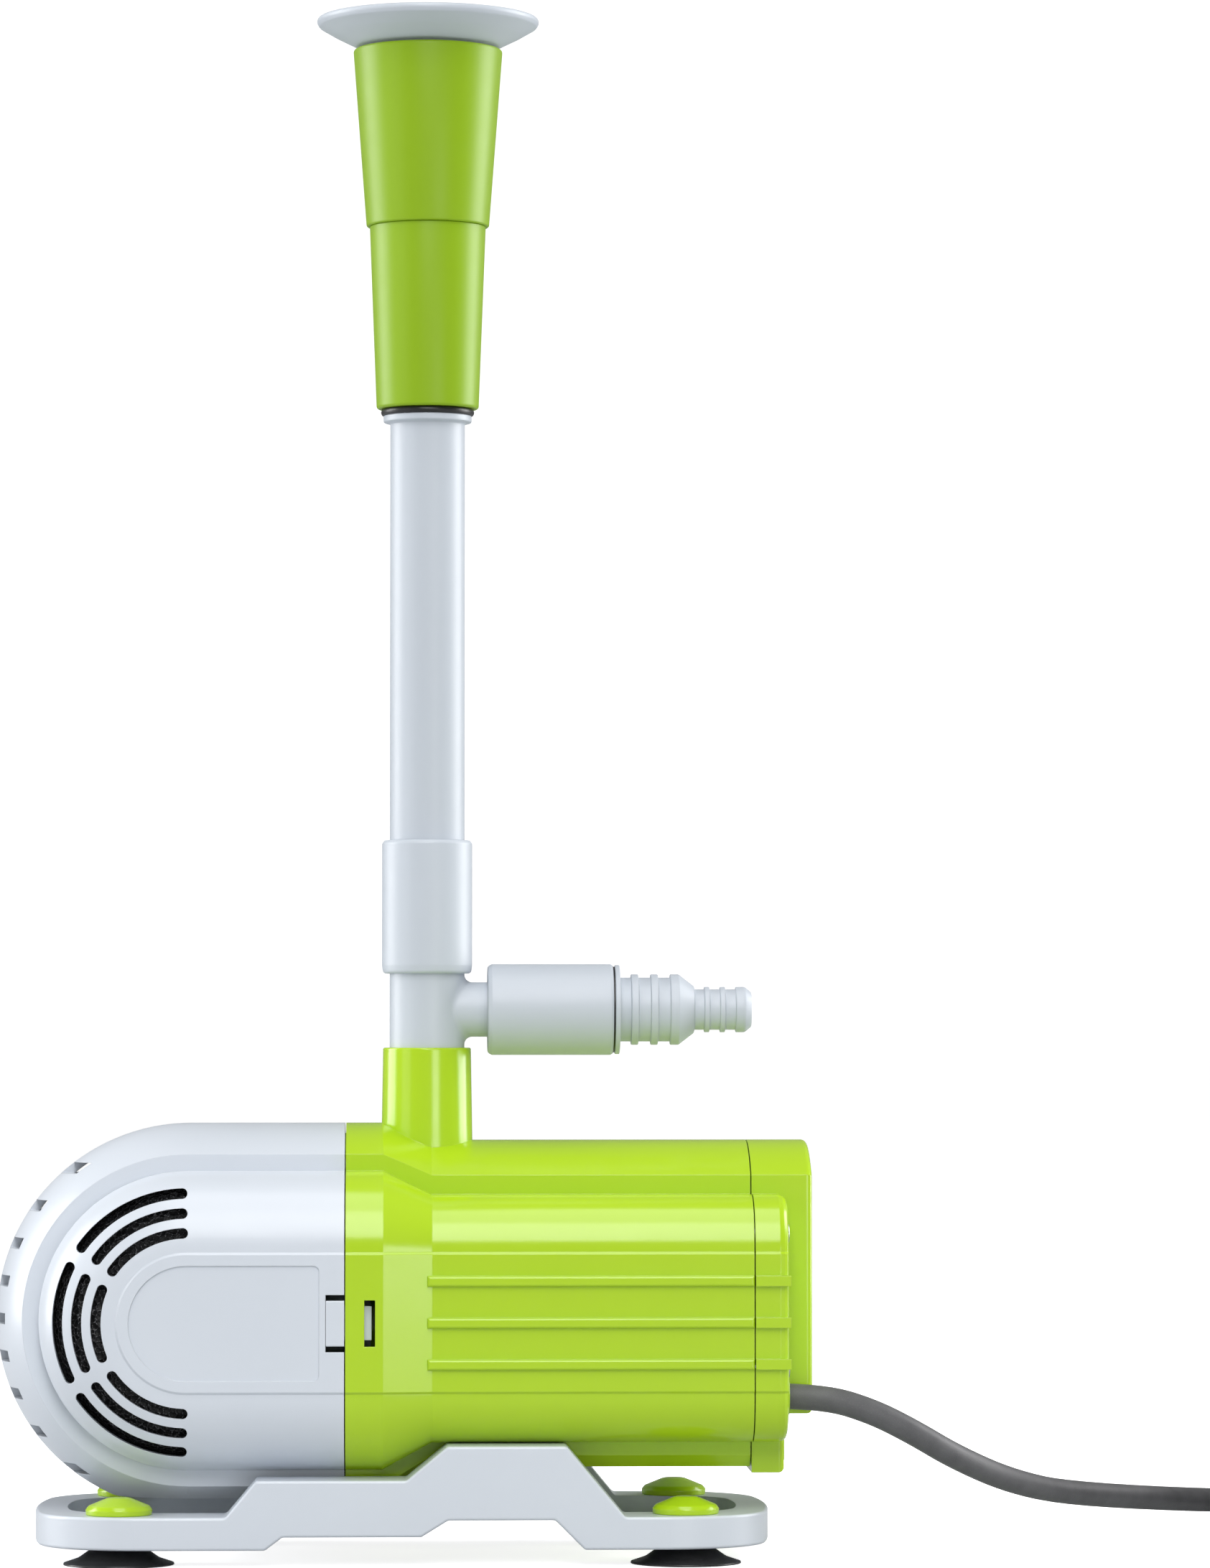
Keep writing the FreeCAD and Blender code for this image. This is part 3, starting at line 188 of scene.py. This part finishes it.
class Surface:
    """A small builder round one material's node tree."""

    def __init__(self, name):
        self.material = bpy.data.materials.new(name)
        self.material.use_nodes = True
        self.tree = self.material.node_tree
        self.shader = self.tree.nodes["Principled BSDF"]
        self.place = self.add("ShaderNodeTexCoord").outputs["Object"]

    def add(self, kind, **inputs):
        """A new node, with its inputs set or linked by name."""
        node = self.tree.nodes.new(kind)
        for name, value in inputs.items():
            self.feed(node.inputs[name.replace("_", " ")], value)
        return node

    def feed(self, socket, value):
        """Links a socket to another one, or sets it to a plain value."""
        if isinstance(value, bpy.types.NodeSocket):
            self.tree.links.new(value, socket)
        else:
            socket.default_value = value

    def noise(self, size, detail, stretch=None):
        """Noise whose features are about size millimetres across."""
        place = self.place
        if stretch:
            scaled = self.add("ShaderNodeMapping", Vector=place)
            scaled.inputs["Scale"].default_value = stretch
            place = scaled.outputs["Vector"]
        node = self.add("ShaderNodeTexNoise", Vector=place, Scale=1 / (size * MM), Detail=detail)
        return node.outputs["Fac"]

    def cells(self, size, feature="F1"):
        """Distances in a pattern of cells about size millimetres across."""
        node = self.add("ShaderNodeTexVoronoi", Vector=self.place, Scale=1 / (size * MM))
        node.feature = feature
        return node.outputs["Distance"]

    def rescale(self, value, low, high, start=0.0, end=1.0):
        """Low where the value is at start or before, high at end or after, and even in between."""
        node = self.add("ShaderNodeMapRange", Value=value)
        node.inputs["From Min"].default_value = start
        node.inputs["From Max"].default_value = end
        node.inputs["To Min"].default_value = low
        node.inputs["To Max"].default_value = high
        return node.outputs["Result"]

    def calc(self, operation, first, second):
        """The result of one Math node."""
        node = self.add("ShaderNodeMath")
        node.operation = operation
        self.feed(node.inputs[0], first)
        self.feed(node.inputs[1], second)
        return node.outputs[0]

    def total(self, first, *others):
        """The sum of several values."""
        for other in others:
            first = self.calc("ADD", first, other)
        return first

    def blend(self, factor, first, second):
        """From the first colour at factor 0 to the second at 1."""
        node = self.add("ShaderNodeMix")
        node.data_type = "RGBA"
        self.feed(node.inputs[0], factor)
        self.feed(node.inputs[6], first)
        self.feed(node.inputs[7], second)
        return node.outputs[2]

    def bump(self, height, depth, normal=None, strength=1.0):
        """Relief whose full height is about depth millimetres."""
        node = self.add("ShaderNodeBump", Height=height, Strength=strength, Distance=depth * MM)
        if normal is not None:
            self.feed(node.inputs["Normal"], normal)
        return node.outputs["Normal"]

    def soft_edges(self, radius):
        """The normal of the surface as if its edges were rounded."""
        node = self.add("ShaderNodeBevel", Radius=radius * MM)
        node.samples = 4
        return node.outputs["Normal"]

    def edge_mask(self, soft):
        """Where the rounded normal leaves the true one: the edges of a moulding."""
        plain = self.add("ShaderNodeNewGeometry").outputs["Normal"]
        node = self.add("ShaderNodeVectorMath")
        node.operation = "DOT_PRODUCT"
        self.feed(node.inputs[0], soft)
        self.feed(node.inputs[1], plain)
        return self.rescale(node.outputs["Value"], 1.0, 0.0, 0.80, 0.97)

    def done(self, colour, roughness, normal):
        """Sets the shader's main inputs and returns the finished material."""
        self.feed(self.shader.inputs["Base Color"], colour)
        self.feed(self.shader.inputs["Roughness"], roughness)
        self.feed(self.shader.inputs["Normal"], normal)
        return self.material


def moulded_plastic(name, colour, shade, gloss, edge_highlight_and_wear, ior=1.53):
    """Satin injection-moulded ABS: fine grain, faint flow marks, and paler edges that are a painted edge
    highlight mottled like rubbed wear.

    GREY's gloss stays clear of 0.27, where this roughness pattern rendered with white blotches.
    """
    s = Surface(name)
    flow = s.rescale(s.noise(55, 2, (1, 1, 0.5)), 0.0, 1.0, 0.25, 0.75)
    cloud = s.rescale(s.noise(9, 5), 0.0, 1.0, 0.25, 0.75)
    tone = s.blend(s.calc("MULTIPLY", flow, 0.35), colour, shade)
    tone = s.blend(s.calc("MULTIPLY", cloud, 0.10), tone, shade)
    soft = s.soft_edges(0.32)
    # paler edges where the rounded normal leaves the true one: a painted edge highlight, broken up by
    # noise like rubbed wear
    edge_highlight_and_wear_mask = s.calc("MULTIPLY", s.edge_mask(soft), s.rescale(s.noise(3.5, 4), 0.1, 0.6, 0.35, 0.7))
    tone = s.blend(edge_highlight_and_wear_mask, tone, edge_highlight_and_wear)
    speck = s.rescale(s.noise(0.9, 2), 0.0, 1.0, 0.74, 0.82)
    tone = s.blend(s.calc("MULTIPLY", speck, 0.10), tone, shade)
    smear = s.rescale(s.noise(14, 3, (1, 1, 3)), -0.015, 0.02, 0.3, 0.7)
    grain = s.noise(0.55, 4)
    roughness = s.total(s.rescale(grain, -0.006, 0.006), gloss, smear)
    normal = s.bump(grain, 0.006, soft)
    normal = s.bump(s.noise(26, 2), 0.03, normal, 0.6)
    s.shader.inputs["IOR"].default_value = ior
    return s.done(tone, roughness, normal)


def rubber(name, colour, pale, roughness, grain_size, depth):
    """Fine-grained rubber with a little bloom."""
    s = Surface(name)
    bloom = s.rescale(s.noise(7, 5), 0.0, 0.5, 0.35, 0.8)
    grain = s.noise(grain_size, 3)
    dots = s.rescale(s.noise(grain_size * 0.6, 2), 0.0, 0.5, 0.55, 0.75)
    tone = s.blend(bloom, colour, pale)
    tone = s.blend(dots, tone, pale)
    rough = s.calc("ADD", s.rescale(grain, -0.08, 0.08), roughness)
    return s.done(tone, rough, s.bump(grain, depth, s.soft_edges(0.25)))


def open_foam():
    """Coarse open-cell filter foam: black struts with painted glints, and holes painted near-black as
    shade.
    """
    s = Surface("black_foam")
    cell = s.cells(1.7)
    strut = s.cells(1.7, "DISTANCE_TO_EDGE")
    fine = s.noise(0.5, 4)
    strut_mask = s.rescale(strut, 1.0, 0.0, 0.02, 0.16)
    # struts dark grey, the holes between them near-black: painted shade in the holes
    tone = s.blend(strut_mask, srgb(8, 8, 8), srgb(52, 52, 54))
    # pale specks on the struts: painted glints
    painted_glint = s.calc("MULTIPLY", strut_mask, s.rescale(fine, 0.0, 1.0, 0.52, 0.62))
    tone = s.blend(painted_glint, tone, srgb(150, 150, 152))
    height = s.calc("ADD", strut_mask, s.calc("MULTIPLY", cell, 0.6))
    return s.done(tone, s.rescale(fine, 0.35, 0.8), s.bump(height, 0.9))


def metal(name, colour, roughness, brush):
    """Bare metal with fine drawing marks and dull patches."""
    s = Surface(name)
    s.shader.inputs["Metallic"].default_value = 1.0
    lines = s.noise(0.35, 3, brush)
    patch = s.rescale(s.noise(5, 4), 0.0, 0.35, 0.4, 0.8)
    tone = s.blend(patch, colour, tuple(c * 0.55 for c in colour[:3]) + (1.0,))
    rough = s.total(s.rescale(lines, -0.08, 0.08), roughness, s.calc("MULTIPLY", patch, 0.3))
    return s.done(tone, rough, s.bump(lines, 0.01, s.soft_edges(0.15)))


def sintered(name, colour, pale, roughness, size):
    """Pressed and fired material, such as ferrite or ceramic, with fine pits."""
    s = Surface(name)
    grain = s.noise(size, 5)
    pits = s.rescale(s.cells(size * 2.2), 0.0, 1.0, 0.05, 0.2)
    tone = s.blend(s.rescale(grain, 0.0, 0.6, 0.4, 0.75), colour, pale)
    rough = s.calc("ADD", s.rescale(grain, -0.06, 0.06), roughness)
    return s.done(tone, rough, s.bump(pits, 0.02, s.soft_edges(0.3)))


def wound_copper():
    """Enamelled wire, turn beside turn, each turn painted light on its crown and dark in the gaps
    between turns as painted light and shade.
    """
    s = Surface("coil_copper")
    wire_scale = 1 / (0.9 * MM) / 6.283   # a turn about every 1.8 mm
    wave = s.add("ShaderNodeTexWave", Vector=s.place, Scale=wire_scale, Distortion=0.4)
    wave.bands_direction = "X"
    turns = wave.outputs["Fac"]
    # dark gaps and bright crowns across each turn: painted shade and painted highlight of the round wire
    tone = s.blend(s.rescale(turns, 0.0, 0.8), srgb(60, 22, 8), srgb(184, 92, 44))
    tone = s.blend(s.rescale(s.noise(4, 3), 0.0, 0.3, 0.4, 0.7), tone, srgb(120, 50, 22))
    s.shader.inputs["Metallic"].default_value = 0.75
    return s.done(tone, s.rescale(s.noise(1.5, 3), 0.25, 0.42), s.bump(turns, 0.35))


# each edge colour is the painted pale edge highlight, with rubbed wear, of its plastic
# the grey plastic made rougher for a satin finish and darker as painted shade, for the pieces of the
# outlet column
SHADED_SATIN = moulded_plastic("shaded_satin_grey_plastic", srgb(195, 202, 210), srgb(188, 195, 204), 0.40,
                        edge_highlight_and_wear=srgb(232, 236, 241))
GREY = moulded_plastic("grey_plastic", srgb(212, 218, 226), srgb(205, 212, 221), 0.305,
                       edge_highlight_and_wear=srgb(236, 240, 244))
LIME = moulded_plastic("lime_plastic", srgb(178, 214, 34), srgb(170, 207, 29), 0.19,
                       edge_highlight_and_wear=srgb(206, 231, 104))
# the lime plastic made darker for the nozzle cones as painted shade, with a satin roughness
SHADED_LIME = moulded_plastic("shaded_lime_plastic", srgb(141, 178, 16), srgb(134, 171, 13), 0.38,
                            edge_highlight_and_wear=srgb(178, 208, 74), ior=1.42)
DARK = moulded_plastic("dark_plastic", srgb(38, 39, 42), srgb(30, 31, 33), 0.36,
                       edge_highlight_and_wear=srgb(74, 75, 78))
BLACK = rubber("black_rubber", srgb(22, 22, 23), srgb(46, 46, 48), 0.34, 0.5, 0.02)
CABLE = rubber("cable_rubber", srgb(86, 86, 88), srgb(114, 114, 116), 0.5, 0.42, 0.035)
FOAM = open_foam()
STEEL = metal("screw_steel", srgb(196, 196, 192), 0.3, (1, 1, 1))
CORE = metal("core_steel", srgb(120, 123, 128), 0.5, (6, 0.2, 0.2))
BRASS = metal("pin_brass", srgb(206, 203, 196), 0.25, (0.2, 1, 1))
FERRITE = sintered("magnet_ferrite", srgb(52, 53, 56), srgb(86, 87, 90), 0.6, 0.6)
CERAMIC = sintered("ceramic", srgb(232, 230, 222), srgb(244, 243, 238), 0.16, 0.4)
COPPER = wound_copper()
FINISHES = (GREY, LIME, DARK, BLACK, CABLE, FOAM, STEEL, CORE, BRASS, FERRITE, CERAMIC, COPPER)
BY_SLOT = {finish.name.split(".")[0]: finish for finish in FINISHES}


def dress_nodes():
    """Every CAD node takes its slot's finished material, and the tee the satin one of the column, darker
    as painted shade.
    """
    for entry in frame["record"]["subparts"]:
        mesh = frame["nodes"][entry["node"]].data
        mesh.materials.clear()
        on_column = entry["node"] == "tee_piece"
        mesh.materials.append(SHADED_SATIN if on_column else BY_SLOT[entry["material_slot"]])


# ---------------------------------------------------------------- camera, light and floor
CAMERA_PLACE = (-6.4, -1850.0, 150.0)
CAMERA_RISE, CAMERA_TURN = 2.153, -1.990   # degrees up and about the vertical
LENS, SENSOR = 148.2, 36.0                 # millimetres


def make_camera():
    """A long lens in front of the pump, level with its side branch, looking a little right and up."""
    data = bpy.data.cameras.new("camera")
    data.lens, data.sensor_width = LENS, SENSOR
    camera = bpy.data.objects.new("camera", data)
    camera.location = Vector(CAMERA_PLACE) * MM
    camera.rotation_euler = (math.radians(90 + CAMERA_RISE), 0.0, math.radians(CAMERA_TURN))
    data.clip_start, data.clip_end = 0.05, 60.0
    bpy.context.scene.collection.objects.link(camera)
    bpy.context.scene.camera = camera


def soft_box(name, spot, target, width, height, power):
    """A rectangular light that the camera doesn't see: metres and watts."""
    data = bpy.data.lights.new(name, "AREA")
    data.shape, data.size, data.size_y = "RECTANGLE", width, height
    data.energy = power
    lamp = bpy.data.objects.new(name, data)
    lamp.location = Vector(spot)
    lamp.visible_camera = False
    lamp.rotation_euler = (Vector(target) - Vector(spot)).to_track_quat("-Z", "Y").to_euler()
    bpy.context.scene.collection.objects.link(lamp)


def only_for_camera(tree, low, high):
    """A number that is high for what the camera sees directly, and low for light that bounces."""
    seen = tree.nodes.new("ShaderNodeLightPath")
    pick = tree.nodes.new("ShaderNodeMapRange")
    pick.inputs["To Min"].default_value = low
    pick.inputs["To Max"].default_value = high
    tree.links.new(seen.outputs["Is Camera Ray"], pick.inputs["Value"])
    return pick.outputs["Result"]


def make_studio():
    """White floor and sky, soft boxes in front, above and at each side, and two weak fills in front."""
    scene = bpy.context.scene
    scene.view_settings.view_transform = "Standard"
    world = bpy.data.worlds.new("studio")
    scene.world = world
    world.use_nodes = True
    sky = world.node_tree.nodes["Background"]
    sky.inputs["Color"].default_value = (1, 1, 1, 1)
    world.node_tree.links.new(only_for_camera(world.node_tree, 0.24, 1.1), sky.inputs["Strength"])
    soft_box("front", (0.0, -2.35, 1.95), (0, 0, 0.1), 1.1, 2.2, 45)
    soft_box("crown", (0.0, -0.5, 2.3), (0, 0, 0.1), 1.1, 1.5, 16)
    soft_box("left", (-1.3, 0.36, 0.35), (0, 0, 0.25), 0.75, 1.5, 20)
    soft_box("right", (1.3, 0.36, 0.35), (0, 0, 0.25), 0.75, 1.5, 23)
    soft_box("left_front", (-1.35, -0.9, 0.35), (0, 0, 0.25), 0.7, 1.5, 4)
    soft_box("right_front", (0.62, -1.5, 0.13), (0, 0, 0.06), 0.5, 0.24, 2.4)

    s = Surface("studio_floor")
    s.feed(s.shader.inputs["Emission Color"], (1, 1, 1, 1))
    s.feed(s.shader.inputs["Emission Strength"], only_for_camera(s.tree, 0.0, 0.8))
    paper = s.blend(only_for_camera(s.tree, 0.0, 1.0), srgb(186, 188, 190), srgb(238, 238, 238))
    s.done(paper, 0.75, s.bump(s.noise(3, 3), 0.02))
    side = 30000.0
    corners = [(-side, -side, 0), (side, -side, 0), (side, side, 0), (-side, side, 0)]
    floor = new_piece("floor", corners, [(0, 1, 2, 3)])
    floor.data.materials.append(s.material)


# ---------------------------------------------------------------- cable
CABLE_RADIUS = 3.6
CABLE_ROUTE = [
    (105.5, -32.5, 46.2), (118.5, -32.5, 46.0), (131.9, -32.0, 41.9), (143.7, -29.9, 35.9),
    (156.1, -22.8, 28.4), (173.5, -4.8, 20.2), (195.3, 32.9, 13.7), (262.2, 138.6, 3.6),
]
TAIL_ROUTE = [
    (325.0, 137.5, 33.0), (348.8, 135.4, 35.2), (368.9, 122.1, 38.9), (381.5, 100.5, 42.0),
    (382.2, 75.0, 47.5), (367.5, 52.5, 53.0), (345.0, 42.0, 55.0), (324.0, 42.0, 55.0),
]
COIL_CENTRE = (333.0, 92.0)
COIL_OUTER, COIL_PITCH, COIL_LAYERS, COIL_LEVELS = 75.8, 7.36, 5, 5
COIL_STEPS, COIL_CLIMB = 20, 5   # points to a turn, and how many of them lead over to the next one
COIL_JOIN = 120.0                # degrees, where the run from the pump meets the coil


def coil_points():
    """Level turns wound clockwise: up the outermost layer, down the next one in, and so on."""
    swell = 1 / math.cos(math.pi / COIL_STEPS)   # the spline runs inside its control points
    places = []
    for layer in range(COIL_LAYERS):
        levels = range(COIL_LEVELS) if layer % 2 == 0 else reversed(range(COIL_LEVELS))
        places += [(COIL_OUTER - COIL_PITCH * layer, CABLE_RADIUS + COIL_PITCH * k) for k in levels]
    points = []
    for turn, (radius, height) in enumerate(places):
        after_radius, after_height = places[min(turn + 1, len(places) - 1)]
        for k in range(COIL_STEPS):
            ease = max(0.0, (k - (COIL_STEPS - COIL_CLIMB)) / COIL_CLIMB)
            r = (radius + (after_radius - radius) * ease) * swell
            z = height + (after_height - height) * ease
            angle = math.radians(COIL_JOIN - 360 * k / COIL_STEPS)
            x = COIL_CENTRE[0] + r * math.cos(angle)
            y = COIL_CENTRE[1] + r * math.sin(angle)
            points.append((x, y, z))
    return points


def make_cable():
    """The whole mains cable as one spline: the run from the pump, the coil and the end at the plug."""
    route = CABLE_ROUTE + coil_points() + TAIL_ROUTE
    data = bpy.data.curves.new("mains_cable", "CURVE")
    data.dimensions = "3D"
    data.bevel_depth, data.bevel_resolution = CABLE_RADIUS * MM, 4
    data.use_fill_caps = True
    spline = data.splines.new("NURBS")
    spline.points.add(len(route) - 1)
    for point, spot in zip(spline.points, route):
        point.co = (*[c * MM for c in spot], 1.0)
    spline.order_u = 3
    spline.use_endpoint_u = True
    spline.resolution_u = 6
    cable = bpy.data.objects.new("mains_cable", data)
    bpy.context.scene.collection.objects.link(cable)
    data.materials.append(CABLE)
    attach(cable, "pump")
    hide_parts("cable_run", "cable_coil", "cable_tail")
    return cable


def make_plug():
    """A moulded plug: ribbed strain relief and waisted grip. Its pins are the CAD node."""
    turn = Matrix(((0, 0, -1), (0, 1, 0), (1, 0, 0)))
    corners = [(0, -3.0, 0), (4.4, -3.0, 0.5)]
    for k in range(6):
        z = 2.0 + 2.4 * k
        r = 4.7 + 0.22 * k
        corners += [(r, z, 0.3), (r - 0.9, z + 0.4, 0.3),
                    (r - 0.8, z + 1.2, 0.3), (r + 0.1, z + 1.6, 0.3)]
    corners += [(6.9, 17.6, 1.0), (12.0, 22.0, 5.0), (13.2, 27.0, 3.0), (17.2, 33.0, 4.0),
                (17.9, 37.0, 2.0), (17.9, 55.0, 1.2), (16.6, 56.0, 0.4), (16.6, 55.2, 0.2), (0, 55.2, 0)]
    plug = lathe("plug_body", corners, TAIL_ROUTE[-1], turn, 96, closed=False)
    return stand_for(plug, "pump", CABLE, "cable_rubber", "mains_plug")


# ---------------------------------------------------------------- outlet column
def make_column():
    """The riser tube with its collar, the coupler below and the seal under the nozzle."""
    tube = [(9.2, 0, 0), (10.7, 0, 0.3), (10.7, 137.6, 0.5), (12.65, 138.1, 0.45),
            (12.65, 140.0, 0.35), (10.7, 140.0, 0.1), (10.7, 164.0, 0.4), (9.2, 164.0, 0.2)]
    piece = lathe("riser_pipe", tube, (RISER, 0, TUBE_LOW))
    stand_for(piece, "column", SHADED_SATIN, "grey_plastic", "riser_tube")
    coupler = [(10.75, 0, 0), (12.6, 0, 1.5), (12.9, 2.4, 1.0), (12.9, 37.2, 0.9),
               (12.2, 38.1, 0.5), (10.75, 38.1, 0.25), (10.75, 20.0, 0), (9.2, 20.0, 0.2),
               (9.2, 18.3, 0.2), (10.75, 18.3, 0)]
    piece = lathe("riser_socket", coupler, (RISER, 0, COUPLER_LOW))
    stand_for(piece, "column", SHADED_SATIN, "grey_plastic", "riser_coupler")
    seal = [(10.75, 0, 0), (13.1, 0, 0.5), (13.4, 0.9, 0.5), (13.1, 1.84, 0.5), (10.75, 1.84, 0)]
    piece = lathe("seal_ring", seal, (RISER, 0, SEAL_LOW))
    stand_for(piece, "column", BLACK, "black_rubber", "nozzle_seal")


def make_regulator():
    """The turning flow sleeve and the stepped hose tail on the side branch."""
    sleeve = [(7.86, 0, 0.2), (12.3, 0, 0.8), (13.0, 1.2, 0.8), (13.0, 35.2, 0.6),
              (12.5, 35.9, 0.3), (10.9, 35.9, 0.2), (10.9, 3.0, 0.3), (7.86, 3.0, 0.1)]
    piece = lathe("flow_sleeve", sleeve, (SLEEVE_START, 0, BRANCH), ALONG_X)
    stand_for(piece, "regulator", SHADED_SATIN, "grey_plastic", "regulator_sleeve")
    tail = [(7.6, -16.0, 0.2), (10.85, -16.0, 0.4), (10.85, 0.0, 0), (12.75, 0.0, 0.3),
            (12.75, 1.4, 0.3), (9.15, 1.4, 0.3)]
    for rib in (4.6, 10.2):
        tail += [(9.15, rib, 0.12), (10.1, rib + 0.1, 0.22),
                 (10.1, rib + 2.1, 0.22), (9.15, rib + 2.2, 0.12)]
    tail += [(9.15, 15.8, 0.12), (10.1, 15.9, 0.22), (10.1, 18.3, 0.5),
             (6.7, 22.7, 0.5), (5.8, 22.9, 0.12)]
    for rib in (25.6, 30.1):
        tail += [(5.8, rib, 0.1), (6.5, rib + 0.1, 0.2),
                 (6.5, rib + 1.5, 0.2), (5.8, rib + 1.6, 0.1)]
    tail += [(5.8, 34.6, 0.1), (6.5, 34.7, 0.2), (6.5, 37.3, 1.2), (4.9, 39.2, 0.5),
             (4.1, 39.2, 0.25), (4.1, 22.0, 0.5), (7.6, 17.0, 0.5)]
    piece = lathe("stepped_tail", tail, (TAIL_START, 0, BRANCH), ALONG_X)
    stand_for(piece, "tail", SHADED_SATIN, "grey_plastic", "hose_tail")


def make_nozzle():
    """The two nozzle cones, with the ribbed guide inside the upper one, and the bell-shaped disc."""
    adapter = [(10.75, 0, 0.3), (14.65, 0, 0.9), (16.65, 52.55, 0.15), (16.0, 52.55, 0),
               (16.0, 59.6, 0.2), (14.0, 59.6, 0.3), (12.6, 26.0, 0.5), (10.75, 26.0, 0.2)]
    cone = lathe("lower_cone", adapter, (RISER, 0, ADAPTER_LOW))
    stand_for(cone, "nozzle", SHADED_LIME, "lime_plastic", "nozzle_adapter")
    top = 51.1
    shell = [(16.06, 0, 0.1), (17.6, 0, 0.6), (21.45, top, 0.9), (19.6, top, 0.6),
             (17.4, top - 12.0, 2.0), (15.2, 9.0, 0.5), (16.06, 7.4, 0.2)]
    cup = lathe("upper_cone", shell, (RISER, 0, SHELL_LOW))
    ring = [(3.06, 14, 0.3), (5.2, 14, 0.4), (5.2, 23, 0.4), (3.06, 23, 0.3)]
    guide = lathe("guide", ring, (RISER, 0, SHELL_LOW), segments=48)
    boolean(cup, guide, "UNION")
    rib_foot = Vector((RISER, 0, SHELL_LOW + 15.0))
    for turn in (0, 120, 240):
        angle = math.radians(turn)
        along = Vector((math.cos(angle), math.sin(angle), 0))
        across = Vector((-math.sin(angle), math.cos(angle), 0))
        rib = slab_piece("rib", rib_foot, along, across, (4.2, 17.2), 0.9, 7.0)
        boolean(cup, rib, "UNION")
    tidy_shading(cup)
    stand_for(cup, "nozzle", SHADED_LIME, "lime_plastic", "nozzle_shell")
    bell = [(0, -38.0, 0), (3.0, -38.0, 0.6), (3.0, -14.0, 3.0), (9.0, -9.0, 6.0), (18.0, -0.6, 2.0),
            (19.2, 0.5, 1.0), (20.6, 1.0, 2.0), (27.0, 4.2, 12.0), (31.3, 6.7, 1.5), (31.95, 7.8, 1.0),
            (31.7, 8.9, 0.9), (30.3, 9.2, 1.2), (24.0, 6.2, 10.0), (14.0, 4.6, 10.0), (6.0, 4.6, 1.5),
            (5.0, 6.6, 0.8), (0, 6.8, 0)]
    disc = lathe("spray_disc", bell, (RISER, 0, DISC_LOW), closed=False, sharp=40)
    stand_for(disc, "disc", SHADED_SATIN, "grey_plastic", "bell_disc")


# ---------------------------------------------------------------- feet
def make_feet():
    """Four suction cups, each with a stud through the base and a lime button on top."""
    cup = [(0, 2.9, 0), (7.0, 2.5, 3.0), (14.3, 0.0, 0.1), (15.5, 0.0, 0.15), (15.4, 0.55, 0.2),
           (11.4, 1.9, 5.0), (8.4, 4.0, 1.2), (7.9, 4.7, 0.2), (4.0, 4.7, 0.2), (4.0, 15.3, 0.4),
           (0, 15.3, 0)]
    cap = [(0, 4.95, 0), (3.0, 4.85, 5.0), (8.5, 2.6, 1.4), (9.35, 1.5, 0.6), (9.2, 0.0, 0.4),
           (4.1, 0.0, 0.1), (4.1, 1.8, 0.1), (0, 1.8, 0)]
    corners = [(sx * CUP_X, sy * CUP_Y) for sx in (-1, 1) for sy in (-1, 1)]
    for index, (x, y) in enumerate(corners, start=1):
        piece = lathe(f"sucker_{index}", cup, (x, y, 0), closed=False, segments=80)
        stand_for(piece, "pump", BLACK, "black_rubber", f"suction_cup_{index}")
        button = lathe(f"stud_cap_{index}", cap, (x, y, BUTTON_LEVEL), closed=False, segments=80)
        stand_for(button, "pump", LIME, "lime_plastic", f"cup_button_{index}")


make_camera()
make_studio()
dress_nodes()
cable = make_cable()
plug = make_plug()
make_column()
make_regulator()
make_nozzle()
make_feet()
